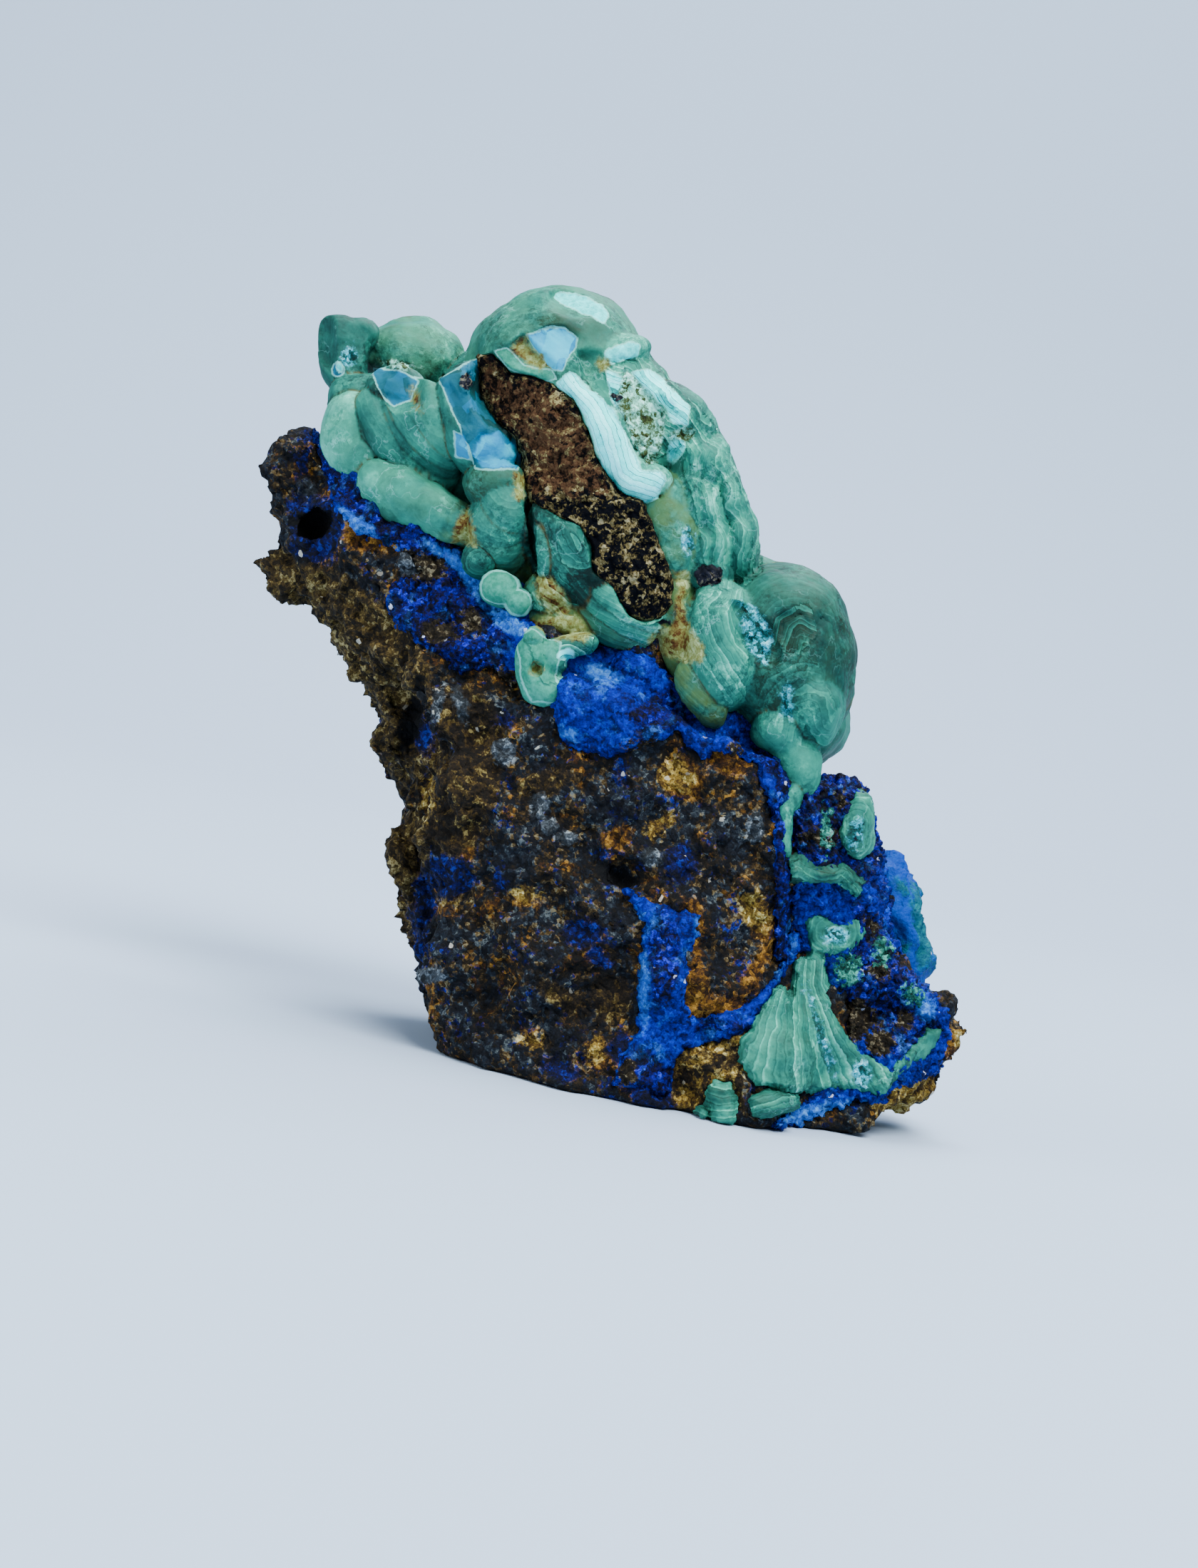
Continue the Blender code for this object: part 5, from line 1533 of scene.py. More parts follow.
@dataclass
class MalachiteCap:
    """The kidney-shaped malachite that crowns the specimen, broken open at the front."""

    finish: Material
    pitch: float = 0.078
    seed: int = 4

    def build(self) -> Object:
        """Makes the cap."""
        body = VoxelField((-11.9, -7.0, 5.6), (8.6, 7.0, 23.4), self.pitch)
        for lobe in CAP_LOBES:
            if not lobe.cluster:
                body.join_lump(lobe)
        for cluster, blend in CLUSTER_BLEND.items():
            body.join_cluster([lobe for lobe in CAP_LOBES if lobe.cluster == cluster], blend)
        for gap in CAP_GAPS:
            body.cut_lump(gap)
        for facet in (*CAP_FACETS.values(), SIDE_WALL):
            body.cut_over(facet.box(), facet.limit)
        body.cut_over(view_box(*CORE_SPANS), self._core_limit)
        skin = body.skin(2)
        skin = skin.refined(skin.seen_faces())
        body.settle(skin, 3)
        self._mark(skin)
        return skin.to_object("malachite_cap_skin", self.finish)

    def _core_limit(self, columns: Array, rows: Array) -> Array:
        """Keeps the cap behind the core that shows through it."""
        outside = np.maximum(-inside_by(CORE_OUTLINE, columns, rows), 0.0)
        return CORE_SURFACE.depth(columns, rows) - 0.30 + 3.5 * outside

    def _mark(self, skin: Skin) -> None:
        """Gives the skin its colours' marks and its fine relief."""
        grain = Grain(self.seed)
        points = skin.points
        columns, rows, _ = VIEW.picture(points)
        front = skin.seen_share()
        away = np.stack([lobe.distance(points) for lobe in CAP_LOBES])
        owner = away.argmin(axis=0)
        families = np.array([lobe.cluster or str(index) for index, lobe in enumerate(CAP_LOBES)])
        strangers = families[owner][None, :] != families[:, None]
        nearest = away.min(axis=0)
        # Painted shade in the creases where lobes of different clusters meet
        crease_shade = 1.0 - soft_step(np.where(strangers, away, 9.0).min(axis=0) - nearest, 0.0, 0.07)
        stepped = np.array([CLUSTER_BLEND.get(lobe.cluster, 0.0) == STEP_BLEND for lobe in CAP_LOBES])
        # A thin line of painted shade along each step of a stepped cluster
        second = np.partition(away, 1, axis=0)[1]
        seam_shade = 0.6 * (1.0 - soft_step(second - nearest, 0.0, 0.025)) * stepped[owner]
        crease_shade = np.maximum(crease_shade, seam_shade)
        crease_shade[nearest < -0.06] = 0.0
        warp = grain.fractal(points, 0.9, 3)
        ring, relief, bands, tone, warm = (np.zeros(len(points)) for _ in range(5))
        for index, lobe in enumerate(CAP_LOBES):
            own = owner == index
            local = (points[own] - lobe.centre()) @ lobe.turned() / np.array(lobe.half)
            local /= np.maximum(np.linalg.norm(local, axis=1, keepdims=True), 1e-9)
            pole = lobe.turned().T @ (VIEW.axes() @ np.array(lobe.pole))
            pole /= np.linalg.norm(pole)
            angle = np.arccos(np.clip(local @ pole, -1.0, 1.0))
            ring[own] = angle * np.mean(lobe.half) / lobe.step + 0.30 * warp[own]
            relief[own] = lobe.relief * soft_step(angle, 0.45, 0.95)
            bands[own] = min(1.0, 0.12 + lobe.relief * 10.0) * soft_step(angle, 0.2, 0.6)
            tone[own] = lobe.tone
            warm[own] = lobe.warm
        for zone in CAP_ZONES:
            share = front * soft_step(inside_by(zone.outline, columns, rows), 0.0, 0.05)
            own = share > 0.5
            ring[own] = zone.ring(columns[own], rows[own]) + zone.warp * warp[own]
            relief[own] = zone.relief
            bands[own] = zone.bands
        for spot, shift in CAP_SHADES:
            tone += front * shift * soft_step(spot.inside_by(columns, rows), -0.35, 0.25)
        skin.marks = {"ring": ring, "bands": bands, "tone": tone, "warm": warm, "crease_shade": crease_shade}
        for name, patches in CAP_PATCHES.items():
            inside = insides(patches, columns, rows)
            skin.marks[name] = np.minimum(inside, (front - 0.5) * 0.6)
        skin.marks["glow"] = soft_step(skin.marks["glow"], -0.02, 0.02)
        saw = ring - np.floor(ring)
        heights = relief * (saw - 0.5) * 1.4
        heights += 0.10 * grain.fractal(points, 1.3, 2) + 0.022 * grain.fractal(points, 0.5, 3)
        broken = np.maximum(np.maximum(skin.marks["porous"], skin.marks["aqua"]), skin.marks["dark"])
        rough = soft_step(broken, -0.05, 0.06)
        _, _, value = grain.cells(points, 0.20)
        heights += rough * (0.16 * (value - 0.6) + 0.10 * grain.fractal(points, 0.3, 2))
        chips = soft_step(skin.marks["sky"], 0.0, 0.05)
        _, _, chip = grain.cells(points, 0.42)
        heights += chips * 0.10 * (chip - 0.5)
        hidden = 1.0 - front
        near, edge, value = grain.cells(points + 7.0, 1.05)
        small, _, _ = grain.cells(points, 0.5)
        clustered = soft_step(grain.smooth(points, 2.6), -0.25, 0.15)
        heights += hidden * (0.20 * (0.5 - near**2) + 0.09 * clustered * (0.5 - small**2))
        heights += hidden * 0.20 * grain.fractal(points, 2.6, 2)
        # Painted shade also in the creases between the bumps of the hidden back
        skin.marks["crease_shade"] = np.maximum(crease_shade, 0.7 * hidden * (1.0 - soft_step(edge, 0.0, 0.07)))
        skin.marks["tone"] += hidden * (0.16 * (value - 0.5) + 0.10 * warp - 0.04)
        stained = 0.5 * (grain.fractal(points, 1.7, 3) - 0.50) - 1.2 * front
        skin.marks["ochre"] = np.maximum(skin.marks["ochre"], stained)
        skin.push(heights)


@dataclass
class LimoniteCore:
    """The brown core that shows where the cap is broken."""

    finish: Material
    spacing: float = 2.6
    seed: int = 7

    def build(self) -> Object:
        """Makes the core's visible face, closed behind."""
        grain = Grain(self.seed)
        plate = Plate((CORE_OUTLINE,), self.spacing)
        columns, rows = plate.columns, plate.rows
        plain = CORE_SURFACE.depth(columns, rows)
        spots = VIEW.place(columns, rows, plain)
        inside = plate.inside() + 0.06 * grain.fractal(spots, 0.5, 3)
        _, _, value = grain.cells(spots, 0.19)
        bumps = 0.12 * (value - 0.5) + 0.11 * grain.fractal(spots, 0.8, 3)
        bumps = bumps + 0.06 * grain.fractal(spots, 0.2, 2)
        depth = plain + bumps - 3.0 * np.maximum(-inside, 0.0)
        rim = 0.15 - inside_by(CORE_OUTLINE, columns, rows)
        lower = np.maximum(inside_by(CORE_LOWER, columns, rows), rim)
        skin = plate.closed(inside > -0.20, depth, np.minimum(depth - 0.2, plain - 0.9), {"lower": lower})
        return skin.to_object("limonite_core", self.finish)


ROCK_PATCHES: dict[str, tuple[Pairs | Spot, ...]] = {
    "blue": (path(605, 1200, 650, 1205, 668, 1240, 640, 1260, 612, 1262, 600, 1300, 596, 1350, 578, 1358,
        574, 1300, 580, 1240),
        path(868, 1440, 900, 1470, 935, 1490, 945, 1556, 900, 1556, 870, 1520, 850, 1470),
        path(400, 700, 470, 690, 480, 740, 460, 790, 410, 780), Spot(954, 1210, 26, 26),
        Spot(820, 1310, 30, 20), Spot(592, 1030, 16, 26), Spot(706, 1010, 12, 9), Spot(700, 1235, 10, 14),
        Spot(840, 1345, 20, 12, 40), Spot(870, 1075, 9, 24), Spot(785, 1500, 30, 14, 20),
        Spot(440, 610, 18, 14), Spot(425, 650, 8, 30, 10)),
    "ochre": (path(1000, 1030, 1040, 1025, 1056, 1045, 1052, 1085, 1020, 1092, 993, 1070),
        path(480, 735, 520, 718, 552, 745, 545, 772, 505, 774, 478, 758),
        path(444, 690, 470, 680, 488, 700, 470, 712, 446, 706),
        path(955, 1255, 985, 1265, 990, 1300, 985, 1350, 1000, 1400, 1060, 1390, 1088, 1335, 1095, 1290,
            1070, 1330, 1040, 1370, 1050, 1425, 965, 1430, 958, 1400, 975, 1330),
        path(1035, 1262, 1062, 1248, 1090, 1290, 1080, 1330, 1050, 1300),
        path(820, 1460, 845, 1450, 857, 1490, 836, 1502),
        path(925, 1075, 960, 1060, 990, 1085, 980, 1125, 940, 1115), Spot(866, 1176, 22, 15, -30),
        Spot(742, 1455, 14, 10), Spot(610, 1270, 24, 12, 10), Spot(735, 1260, 24, 10, 10),
        Spot(655, 1200, 8, 8), Spot(590, 1500, 30, 12, 30),
        path(1220, 1520, 1262, 1500, 1313, 1510, 1300, 1560, 1240, 1570),
        path(1322, 1430, 1365, 1450, 1340, 1490, 1318, 1470)),
    "khaki": (path(605, 985, 625, 960, 660, 958, 690, 985, 712, 1040, 700, 1110, 672, 1160, 665, 1205, 620,
        1205, 598, 1190, 590, 1130, 598, 1060),
        path(930, 1465, 1000, 1450, 1042, 1480, 1045, 1560, 945, 1560), Spot(855, 1400, 26, 34),
        Spot(790, 1400, 40, 16, 30), Spot(760, 1100, 40, 20, -20)),
    "quartz": (Spot(755, 1130, 13, 18), Spot(770, 1158, 14, 13), Spot(706, 1055, 17, 19),
        Spot(914, 1202, 18, 13), Spot(1058, 1160, 13, 22), Spot(430, 690, 14, 22, -15),
        Spot(592, 795, 40, 24, 20), Spot(616, 892, 20, 18), Spot(795, 1175, 16, 11),
        Spot(612, 990, 9, 30, 15), Spot(645, 985, 8, 28, -15), Spot(600, 1368, 24, 12)),
    "tan": (path(345, 745, 420, 790, 470, 800, 545, 855, 600, 930, 605, 1000, 590, 1110, 560, 1115, 500,
        1000, 430, 880, 350, 860),
        path(530, 1120, 592, 1130, 598, 1210, 576, 1260, 580, 1400, 560, 1400, 540, 1250)),
    "gold": (path(1215, 1530, 1262, 1504, 1310, 1512, 1300, 1552, 1240, 1568),
        ((1335, 1440), (1365, 1450), (1345, 1475)),
        path(925, 1075, 955, 1064, 975, 1085, 968, 1115, 935, 1105),
        path(905, 1160, 940, 1140, 948, 1150, 915, 1178),
        path(1035, 1262, 1062, 1248, 1085, 1285, 1070, 1310, 1045, 1295), Spot(600, 1120, 8, 24),
        Spot(836, 1470, 12, 18), Spot(742, 1458, 16, 8), Spot(994, 1468, 42, 7, -14),
        Spot(972, 1492, 30, 6, -20), Spot(1010, 1512, 30, 6, -12), Spot(962, 1540, 20, 12),
        Spot(590, 1500, 24, 10, 30), Spot(615, 1262, 30, 8, -6), Spot(735, 1255, 20, 10, 10),
        Spot(500, 1015, 12, 30, -20)),
    # Painted shade in the deep hole, the dark crack and the left hollow
    "black": (Spot(434, 733, 28, 20), Spot(862, 1226, 36, 12, 28), Spot(578, 1000, 14, 50, 15)),
}


@dataclass
class Rock:
    """The dark rock that carries the growths, with its broken and crumbly surface."""

    finish: Material
    seed: int = 11
    body: VoxelField | None = None
    tree: BVHTree | None = None

    def base(self) -> Skin:
        """The rock's main form on an even grid, with the same bumps as its solid."""
        rough = VoxelField((-13.5, -8.0, -1.5), (13.5, 8.0, 22.0), COARSE_PITCH)
        for slab in ROCK_SLABS.values():
            rough.join_mesh(*slab.mesh())
        for lump in (*ROCK_LUMPS.values(), *WINDOW_ROOT.values()):
            rough.join_lump(lump)
        rough.ease(1)
        skin = rough.skin()
        shift = Vector((ROCK_SEED * 7.3, ROCK_SEED * 3.1, ROCK_SEED * 5.7))
        heights = np.zeros(len(skin.points))
        for index, point in enumerate(skin.points.tolist()):
            spot = Vector(point)
            for size, strength in ROCK_BUMPS:
                heights[index] += strength * noise.fractal(spot / size + shift, 0.8, 2.1, 2)
        skin.push(heights)
        return skin

    def build(self) -> Object:
        """Makes the rock."""
        base = self.base()
        body = VoxelField((-13.5, -8.0, -1.0), (13.5, 8.0, 22.0), ROCK_PITCH)
        body.join_mesh(base.points, base.faces)
        for pit in ROCK_PITS.values():
            body.cut_lump(pit)
        body.join_lump(SPUR_TIP)
        body.cut_below_floor()
        skin = body.skin()
        skin = skin.refined(skin.seen_faces())
        self._mark(skin)
        self.body, self.tree = body, skin.tree()
        return skin.to_object("rock", self.finish)

    def _mark(self, skin: Skin) -> None:
        """Gives the skin its colours' marks and its crumbly relief."""
        grain = Grain(self.seed)
        points = skin.points
        columns, rows, _ = VIEW.picture(points)
        front = skin.seen_share()
        drift = grain.fractal(points, 2.2, 3)
        spread = grain.fractal(points + 40.0, 1.6, 3)
        for name, patches in ROCK_PATCHES.items():
            inside = insides(patches, columns, rows)
            skin.marks[name] = np.minimum(inside, (front - 0.5) * 1.2)
        skin.marks["tan"] = np.maximum(skin.marks["tan"], (drift - 0.35) * 0.6 - 1.2 * front)
        skin.marks["blue"] = np.maximum(skin.marks["blue"], (spread - 0.55) * 0.6 - 1.2 * front)
        skin.marks["ochre"] = np.maximum(skin.marks["ochre"], (-drift - 0.55) * 0.6 - 1.2 * front)
        near, _, value = grain.cells(points, 0.42)
        small, _, chip = grain.cells(points, 0.22)
        heights = 0.16 * (value - 0.5) - 0.10 * near + 0.09 * (chip - 0.5) - 0.05 * small
        heights += 0.10 * grain.fractal(points, 0.9, 4)
        tan = soft_step(skin.marks["tan"], -0.3, 0.2)
        _, _, block = grain.cells(points, 0.75)
        heights += tan * (0.28 * (block - 0.5) + 0.12 * grain.fractal(points, 0.5, 2))
        quartz = soft_step(skin.marks["quartz"], -0.05, 0.15)
        heights += quartz * (0.10 + 0.10 * (value - 0.5))
        heights -= 0.25 * soft_step(skin.marks["black"], -0.1, 0.2)
        covered = insides(tuple(outline for coat in COATS for outline in coat.outlines), columns, rows)
        under = front * soft_step(covered, 0.0, 0.25)
        heights = heights * (1.0 - 0.7 * under) - 0.12 * under
        skin.push(heights * soft_step(points[:, 2], 0.05, 0.5))
        skin.stand_flat()


@dataclass(frozen=True)
class Coat:
    """A mineral that grows over the rock inside picture outlines.

    It stands up to its lift over the rock, rounded off within its rim. The ease is how many times the rock's
    own bumps are smoothed under it, and hangs is how far behind its middle it still covers the rock.
    """

    node: str
    outlines: tuple[Pairs, ...]
    lift: float = 0.20
    rim: float = 0.30
    fray: float = 0.10
    crystals: float = 0.0
    ease: int = 1
    hangs: float = 9.0
    bumps: float = 0.04
    tone: float = 0.46
    zones: tuple[Zone, ...] = ()
    patches: tuple[tuple[str, tuple[Pairs | Spot, ...]], ...] = ()


def patch(mark: str, *shapes: Pairs | Spot) -> tuple[str, tuple[Pairs | Spot, ...]]:
    """A mark of a coat with its outlines and spots."""
    return mark, shapes


COATS = (
    Coat("azurite_seam",
        (path(438, 598, 466, 640, 500, 640, 640, 700, 745, 830, 752, 880, 740, 935, 716, 965, 690, 940,
            640, 940, 598, 905, 545, 862, 545, 822, 590, 806, 560, 768, 500, 748, 466, 706),),
        crystals=0.14,
        patches=(
            patch("druse",
                path(540, 822, 575, 800, 600, 770, 640, 760, 668, 800, 700, 850, 715, 900, 700, 950, 655,
                    960, 590, 905, 545, 862),
                path(440, 625, 470, 650, 515, 700, 552, 722, 600, 740, 645, 758, 680, 790, 640, 802, 590,
                    784, 543, 766, 508, 745, 486, 710, 458, 690)),
            patch("pale", path(474, 708, 524, 738, 528, 754, 488, 744),
                path(592, 754, 640, 775, 741, 880, 741, 895, 700, 880, 640, 800, 600, 770)),
            patch("stone", Spot(592, 795, 34, 20, 20), Spot(616, 885, 26, 16), Spot(660, 872, 16, 20),
                Spot(702, 955, 24, 18)))),
    Coat("azurite_patch",
        (path(780, 905, 800, 912, 840, 905, 905, 918, 940, 952, 985, 990, 1060, 1000, 1100, 1040, 1112,
            1120, 1106, 1345, 1088, 1345, 1084, 1140, 1055, 1068, 1010, 1052, 985, 1068, 950, 1024, 920,
            1042, 850, 1062, 790, 1046, 780, 1000, 775, 960),), crystals=0.08,
        patches=(
            patch("druse", path(1020, 983, 1100, 1000, 1110, 1060, 1100, 1110, 1060, 1060),
                path(880, 1000, 940, 960, 985, 1010, 950, 1020, 900, 1040),
                path(1090, 1040, 1115, 1100, 1110, 1350, 1085, 1350, 1084, 1140)),
            patch("pale", Spot(845, 945, 24, 12, 20), Spot(800, 1030, 10, 8)),
            patch("stone", Spot(1030, 1050, 10, 10), Spot(905, 1050, 24, 10)))),
    Coat("azurite_vein",
        (path(878, 1250, 925, 1270, 982, 1284, 968, 1330, 960, 1400, 966, 1428, 1035, 1418, 1075, 1385,
            1098, 1345, 1112, 1300, 1128, 1320, 1080, 1400, 1055, 1445, 960, 1470, 944, 1500, 940, 1535,
            862, 1520, 872, 1480, 893, 1450, 893, 1400, 905, 1300),), crystals=0.08,
        patches=(
            patch("druse", path(862, 1520, 872, 1480, 900, 1470, 944, 1500, 940, 1540),
                Spot(1010, 1440, 50, 10), Spot(930, 1345, 24, 66)),
            patch("pale", Spot(903, 1385, 7, 40), Spot(980, 1296, 6, 10)),
            patch("stone", Spot(880, 1505, 14, 18)))),
    Coat("azurite_flank",
        (path(1112, 1220, 1112, 1120, 1150, 1080, 1192, 1056, 1212, 1100, 1232, 1150, 1246, 1240, 1262,
            1350, 1300, 1385, 1330, 1425, 1334, 1462, 1312, 1502, 1270, 1525, 1240, 1545, 1200, 1545, 1090,
            1590, 1080, 1575, 1190, 1500, 1190, 1400, 1130, 1340, 1112, 1300),), rim=0.4, fray=0.14,
        crystals=0.2,
        patches=(
            patch("druse", path(1112, 1100, 1192, 1056, 1212, 1100, 1240, 1200, 1225, 1240, 1100, 1225),
                path(1195, 1240, 1262, 1340, 1334, 1462, 1250, 1480, 1190, 1400)),
            patch("pale", Spot(1150, 1560, 60, 12, -10), Spot(1300, 1415, 12, 16)),
            patch("stone", Spot(1150, 1175, 28, 14), Spot(1200, 1430, 28, 28), Spot(1235, 1460, 22, 22),
                Spot(1235, 1360, 16, 14), Spot(1270, 1430, 12, 14), Spot(1180, 1120, 10, 12),
                Spot(1225, 1300, 8, 16)),
            patch("green", Spot(1238, 1335, 12, 20), Spot(1282, 1395, 16, 12, 40),
                Spot(1190, 1362, 18, 22), Spot(1160, 1160, 6, 22)))),
    Coat("malachite_fan",
        (path(1118, 1348, 1140, 1334, 1160, 1345, 1160, 1396, 1178, 1440, 1202, 1470, 1246, 1496, 1300,
            1444, 1322, 1442, 1312, 1474, 1270, 1500, 1240, 1538, 1180, 1526, 1120, 1534, 1060, 1520, 1038,
            1490, 1040, 1460, 1058, 1436, 1084, 1388, 1100, 1384, 1110, 1396),
            path(1128, 1290, 1150, 1280, 1175, 1298, 1206, 1286, 1216, 1312, 1196, 1338, 1136, 1340)),
        0.32, 0.22, 0.1, ease=12, bumps=0.03, tone=0.46,
        zones=(
            Zone(path(1030, 1330, 1168, 1330, 1260, 1490, 1240, 1545, 1030, 1540),
                path(1132, 1326, 1128, 1380, 1140, 1450, 1164, 1545), 0.2, 0.025, 0.75, 0.35, (1136, 1322)),
            Zone(path(1128, 1280, 1216, 1280, 1216, 1345, 1130, 1345), ((1168, 1308), (1176, 1308)), 0.2,
                0.02, 0.4, 0.5)),
        patches=(patch("sky", Spot(1172, 1306, 10, 7), Spot(1206, 1512, 8, 10)),
            patch("aqua", Spot(1150, 1446, 5, 44, -18), Spot(1172, 1312, 16, 12), Spot(1208, 1506, 12, 18)))
    ),
    Coat("malachite_ridge",
        (path(1100, 1204, 1122, 1198, 1146, 1216, 1186, 1210, 1216, 1234, 1214, 1256, 1198, 1260, 1176,
            1240, 1150, 1240, 1108, 1238),), 0.46, 0.3, 0.04, ease=12, bumps=0.08, tone=0.32,
        zones=(
            Zone(path(1090, 1190, 1220, 1190, 1220, 1265, 1090, 1265),
                path(1098, 1196, 1122, 1190, 1152, 1208, 1186, 1204, 1216, 1228), 0.22, 0.05, 0.8, 0.4),)),
    Coat("malachite_teardrop",
        (path(1200, 1104, 1222, 1114, 1232, 1150, 1228, 1192, 1206, 1208, 1184, 1196, 1174, 1168, 1186,
            1138),), 0.46, 0.36, 0.03, ease=12, hangs=0.3, bumps=0.03, tone=0.5,
        zones=(
            Zone(path(1165, 1095, 1240, 1095, 1240, 1215, 1165, 1215), ((1200, 1178), (1204, 1150)), 0.2,
                0.02, 0.6, 0.3),),
        patches=(patch("aqua", Spot(1200, 1170, 11, 20, 14)), patch("dark", Spot(1200, 1174, 3, 7, 14)))),
    Coat("malachite_nodule",
        (path(990, 1530, 1004, 1518, 1024, 1520, 1034, 1540, 1030, 1580, 998, 1584),
            path(970, 1556, 988, 1550, 996, 1566, 984, 1576),
            path(1050, 1540, 1078, 1528, 1120, 1534, 1124, 1556, 1080, 1568, 1056, 1566)), 0.4, 0.28, 0.06,
        ease=6, bumps=0.03, tone=0.4,
        zones=(
            Zone(path(960, 1505, 1045, 1505, 1045, 1595, 960, 1595), ((1014, 1490), (1016, 1492)), 0.22,
                0.04, 0.8, 0.25),
            Zone(path(1045, 1520, 1130, 1520, 1130, 1575, 1045, 1575), ((1050, 1580), (1124, 1560)), 0.16,
                0.03, 0.7, 0.3))))
SMALLEST_SHEET = 60
AZURITE_MARKS = ("druse", "pale", "stone", "green")
MALACHITE_MARKS = ("sky", "bright", "ochre", "porous", "aqua", "mint", "dark")


@dataclass
class GrownCoat:
    """A crust or a bead that covers the rock, its surface a set height over the rock's own."""

    coat: Coat
    finish: Material
    pitch: float = 0.105
    depth_behind: float = 0.9
    seed: int = 21

    def build(self, rock: "Rock") -> Object:
        """Makes the coat.

        Args:
            rock: The finished rock.

        Returns:
            The coat's object.
        """
        coat = self.coat
        grain = Grain(self.seed + len(coat.node))
        plate = Plate(coat.outlines, 4.0)
        ground = plate.ground(rock.tree)
        there = ground[(plate.inside() > -0.2) & (ground > FAR_BEHIND)]
        across, down = ((line.min(), line.max()) for line in (plate.columns, plate.rows))
        body = VoxelField(*view_box(across, down, (there.min() - 1.4, there.max() + 1.0)), self.pitch)
        points = body.points()
        body.values = rock.body.sample(points).reshape(body.values.shape)
        body.ease(coat.ease)
        columns, rows, depths = VIEW.picture(points)
        inside = insides(coat.outlines, columns, rows)
        inside += coat.fray * (grain.fractal(points, 0.45, 2) + 0.6 * grain.fractal(points, 0.14, 2))
        share = np.clip(inside / coat.rim, 0.0, 1.0)
        lift = np.where(inside > 0.0, coat.lift * np.sqrt(1.0 - (1.0 - share) ** 2), 2.5 * inside)
        under = np.maximum(plate.nearest(ground, columns, rows), np.median(there) - coat.hangs)
        behind = 0.7 * (under - self.depth_behind - depths)
        grown = np.maximum(body.values.ravel() - lift, behind)
        body.values = grown.reshape(body.values.shape).astype(np.float32)
        body.cut_below_floor()
        skin = body.skin(1, SMALLEST_SHEET)
        skin = skin.refined(skin.seen_faces())
        body.settle(skin, 2)
        self._mark(skin, grain)
        skin.stand_flat()
        return skin.to_object(coat.node + "_skin", self.finish)

    def _mark(self, skin: Skin, grain: Grain) -> None:
        """Gives the coat its colours' marks and its fine relief."""
        coat, points = self.coat, skin.points
        columns, rows, _ = VIEW.picture(points)
        warp = grain.fractal(points, 0.8, 3)
        ring, bands, relief = (np.zeros(len(rows)) for _ in range(3))
        for zone in coat.zones:
            own = inside_by(zone.outline, columns, rows) > 0.0
            ring[own] = zone.ring(columns[own], rows[own]) + zone.warp * warp[own]
            bands[own] = zone.bands
            relief[own] = zone.relief
        tone, warm = coat.tone + 0.10 * warp, np.full(len(rows), 0.1)
        skin.marks = {"ring": ring, "bands": bands, "tone": tone, "warm": warm}
        for name in (*AZURITE_MARKS, *MALACHITE_MARKS):
            skin.marks[name] = insides(dict(coat.patches).get(name, ()), columns, rows)
        heights = relief * (ring - np.floor(ring) - 0.5) * 1.5 + coat.bumps * grain.fractal(points, 0.5, 3)
        near_cell, _, value = grain.cells(points, 0.20)
        _, _, chip = grain.cells(points, 0.11)
        heights += coat.crystals * (value - 0.45 - 0.6 * near_cell + 0.5 * (chip - 0.5))
        skin.push(heights)


@dataclass
class RearSlab:
    """The blue slab that stands behind the right flank."""

    finish: Material
    royal: ClassVar[Scale] = (0, "002C80", 0.5, "003890", 1, "0448A0")
    teal: ClassVar[Scale] = (0, "002C3C", 0.5, "084C60", 1, "187878")
    pitch: float = 0.14
    seed: int = 31

    def build(self) -> Object:
        """Makes the slab."""
        grain = Grain(self.seed)
        body = VoxelField((4.0, -5.0, 0.0), (11.5, 8.0, 12.0), self.pitch)
        for lump in SLAB_LUMPS.values():
            body.join_lump(lump)
        body.cut_below_floor()
        skin = body.skin()
        points = skin.points
        columns, rows, _ = VIEW.picture(points)
        _, _, value = grain.cells(points, 0.5)
        _, _, block = grain.cells(points, 1.3)
        skin.push(0.28 * (block - 0.6) + 0.10 * (value - 0.5) + 0.16 * grain.fractal(points, 0.9, 4))
        skin.stand_flat()
        teal = (Spot(1296, 1300, 12, 66, -8), Spot(1266, 1245, 14, 8, 40), Spot(1268, 1330, 8, 10))
        skin.marks = {name: np.full(len(points), -1.0) for name in AZURITE_MARKS}
        skin.marks["pale"] = insides(teal, columns, rows)
        return skin.to_object("rear_slab", self.finish)


MIDDLE = (0.0, 0.0, 0.011)


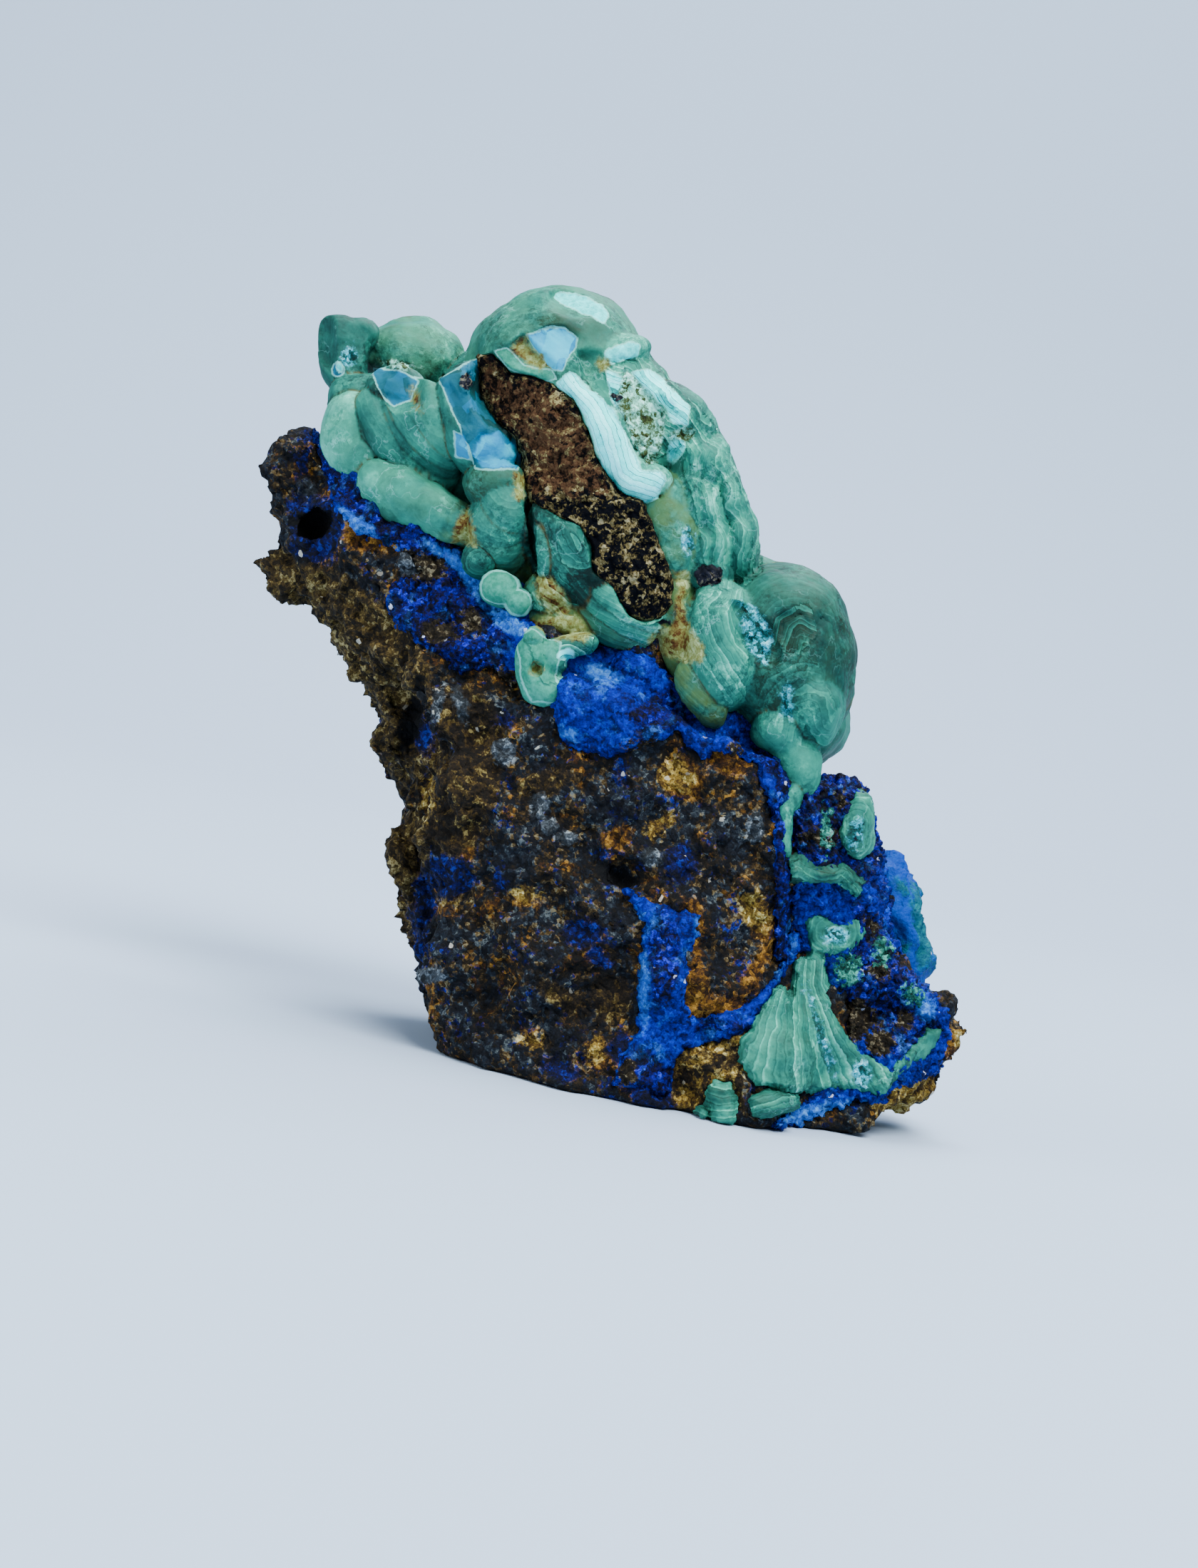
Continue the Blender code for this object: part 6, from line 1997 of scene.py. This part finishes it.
@dataclass(frozen=True)
class Stage:
    """A plain pale floor that curves up into a backdrop, with soft studio light."""

    floor: str = "A6B9D0"
    reach: float = 0.10
    curve: float = 0.16

    def build(self) -> None:
        """Makes the sweep, the lights and the surroundings."""
        profile = [(-0.6, 0.0), (self.reach, 0.0)]
        for index in range(1, 17):
            angle = math.radians(90.0 * index / 16)
            profile.append((self.reach + self.curve * math.sin(angle), self.curve * (1.0 - math.cos(angle))))
        profile.append((self.reach + self.curve, 0.5))
        width = 0.6
        points = [(side * width, y, z - 0.00002) for y, z in profile for side in (-1.0, 1.0)]
        faces = [(2 * k, 2 * k + 1, 2 * k + 3, 2 * k + 2) for k in range(len(profile) - 1)]
        mesh = bpy.data.meshes.new("backdrop")
        mesh.from_pydata(points, [], faces)
        mesh.shade_smooth()
        material, _, shader = principled("backdrop paper")
        shader.inputs["Base Color"].default_value = paint(self.floor)
        shader.inputs["Roughness"].default_value = 0.9
        mesh.materials.append(material)
        sweep = bpy.data.objects.new("backdrop", mesh)
        bpy.context.scene.collection.objects.link(sweep)
        self._light("key light", (0.05, -0.10, 0.16), 0.11, 0.85)
        self._light("left fill", (-0.16, -0.09, 0.07), 0.12, 0.28)
        self._light("back light", (0.03, 0.10, 0.15), 0.10, 0.22)
        self._light("backdrop light", (0.0, 0.06, 0.30), 0.20, 1.6, (0.0, 0.26, 0.10))
        world = bpy.data.worlds.new("studio air")
        world.use_nodes = True
        world.node_tree.nodes["Background"].inputs["Color"].default_value = paint("CFDBEA")
        world.node_tree.nodes["Background"].inputs["Strength"].default_value = 0.42
        bpy.context.scene.world = world

    def _light(self, name: str, place: Place, size: float, power: float, aim: Place = MIDDLE) -> None:
        """Adds a square soft light at a place, of a side and a strength in watts, that looks at its aim."""
        lamp = bpy.data.lights.new(name, "AREA")
        lamp.energy = power
        lamp.size = size
        lamp.color = (0.93, 0.97, 1.0)
        made = bpy.data.objects.new(name, lamp)
        made.location = place
        made.rotation_euler = (Vector(aim) - Vector(place)).to_track_quat("-Z", "Y").to_euler()
        bpy.context.scene.collection.objects.link(made)


@dataclass
class Specimen:
    """The whole specimen: rock, core, cap and the growths on the rock."""

    groups: Groups

    def build(self) -> None:
        """Builds every piece in turn."""
        malachite = MalachiteFinish(self.groups).material()
        azurite = AzuriteFinish(self.groups).material()
        rock = Rock(RockFinish(self.groups).material())
        self._dress(rock.build(), "matrix")
        core = LimoniteCore(CoreFinish(self.groups).material())
        self._dress(core.build(), "matrix")
        self._dress(MalachiteCap(malachite).build(), "malachite_cap")
        for coat in COATS:
            is_blue = coat.node.startswith(Slot.AZURITE.value)
            made = GrownCoat(coat, azurite if is_blue else malachite).build(rock)
            self._dress(made, coat.node)
        smooth = AzuriteFinish(
            self.groups, "smooth azurite", RearSlab.royal, pale=RearSlab.teal, steel_share=0.0
        )
        self._dress(RearSlab(smooth.material()).build(), "azurite_slab")

    def _dress(self, piece: Object, node: str) -> None:
        """Puts a piece on the body and in its solid's place.

        Args:
            piece: The finished piece.
            node: The solid it stands for.
        """
        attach(piece, BODY)
        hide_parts(node)
        box = np.array(piece.bound_box) / MM
        low, high = box.min(axis=0).round(2), box.max(axis=0).round(2)
        LOG.info("%s: %d triangles, from %s to %s mm", piece.name, len(piece.data.polygons), low, high)


def place_camera() -> None:
    """Puts the camera where the photograph was taken from."""
    camera = bpy.data.objects.new("camera", bpy.data.cameras.new("camera"))
    camera.data.sensor_fit = "VERTICAL"
    camera.data.sensor_height = VIEW.sensor
    camera.data.lens = VIEW.lens()
    camera.data.clip_start = 0.005
    pose = Matrix(VIEW.axes().tolist()).to_4x4()
    pose.translation = Vector(VIEW.eye() * MM)
    camera.matrix_world = pose
    bpy.context.scene.collection.objects.link(camera)
    bpy.context.scene.camera = camera


def main() -> None:
    """Builds the specimen and its stage."""
    logging.basicConfig(level=logging.INFO)
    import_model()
    Specimen(Groups(frayed_edge_group(), grain_group(), growth_group())).build()
    Stage().build()
    place_camera()


if __name__ == "__main__":
    main()
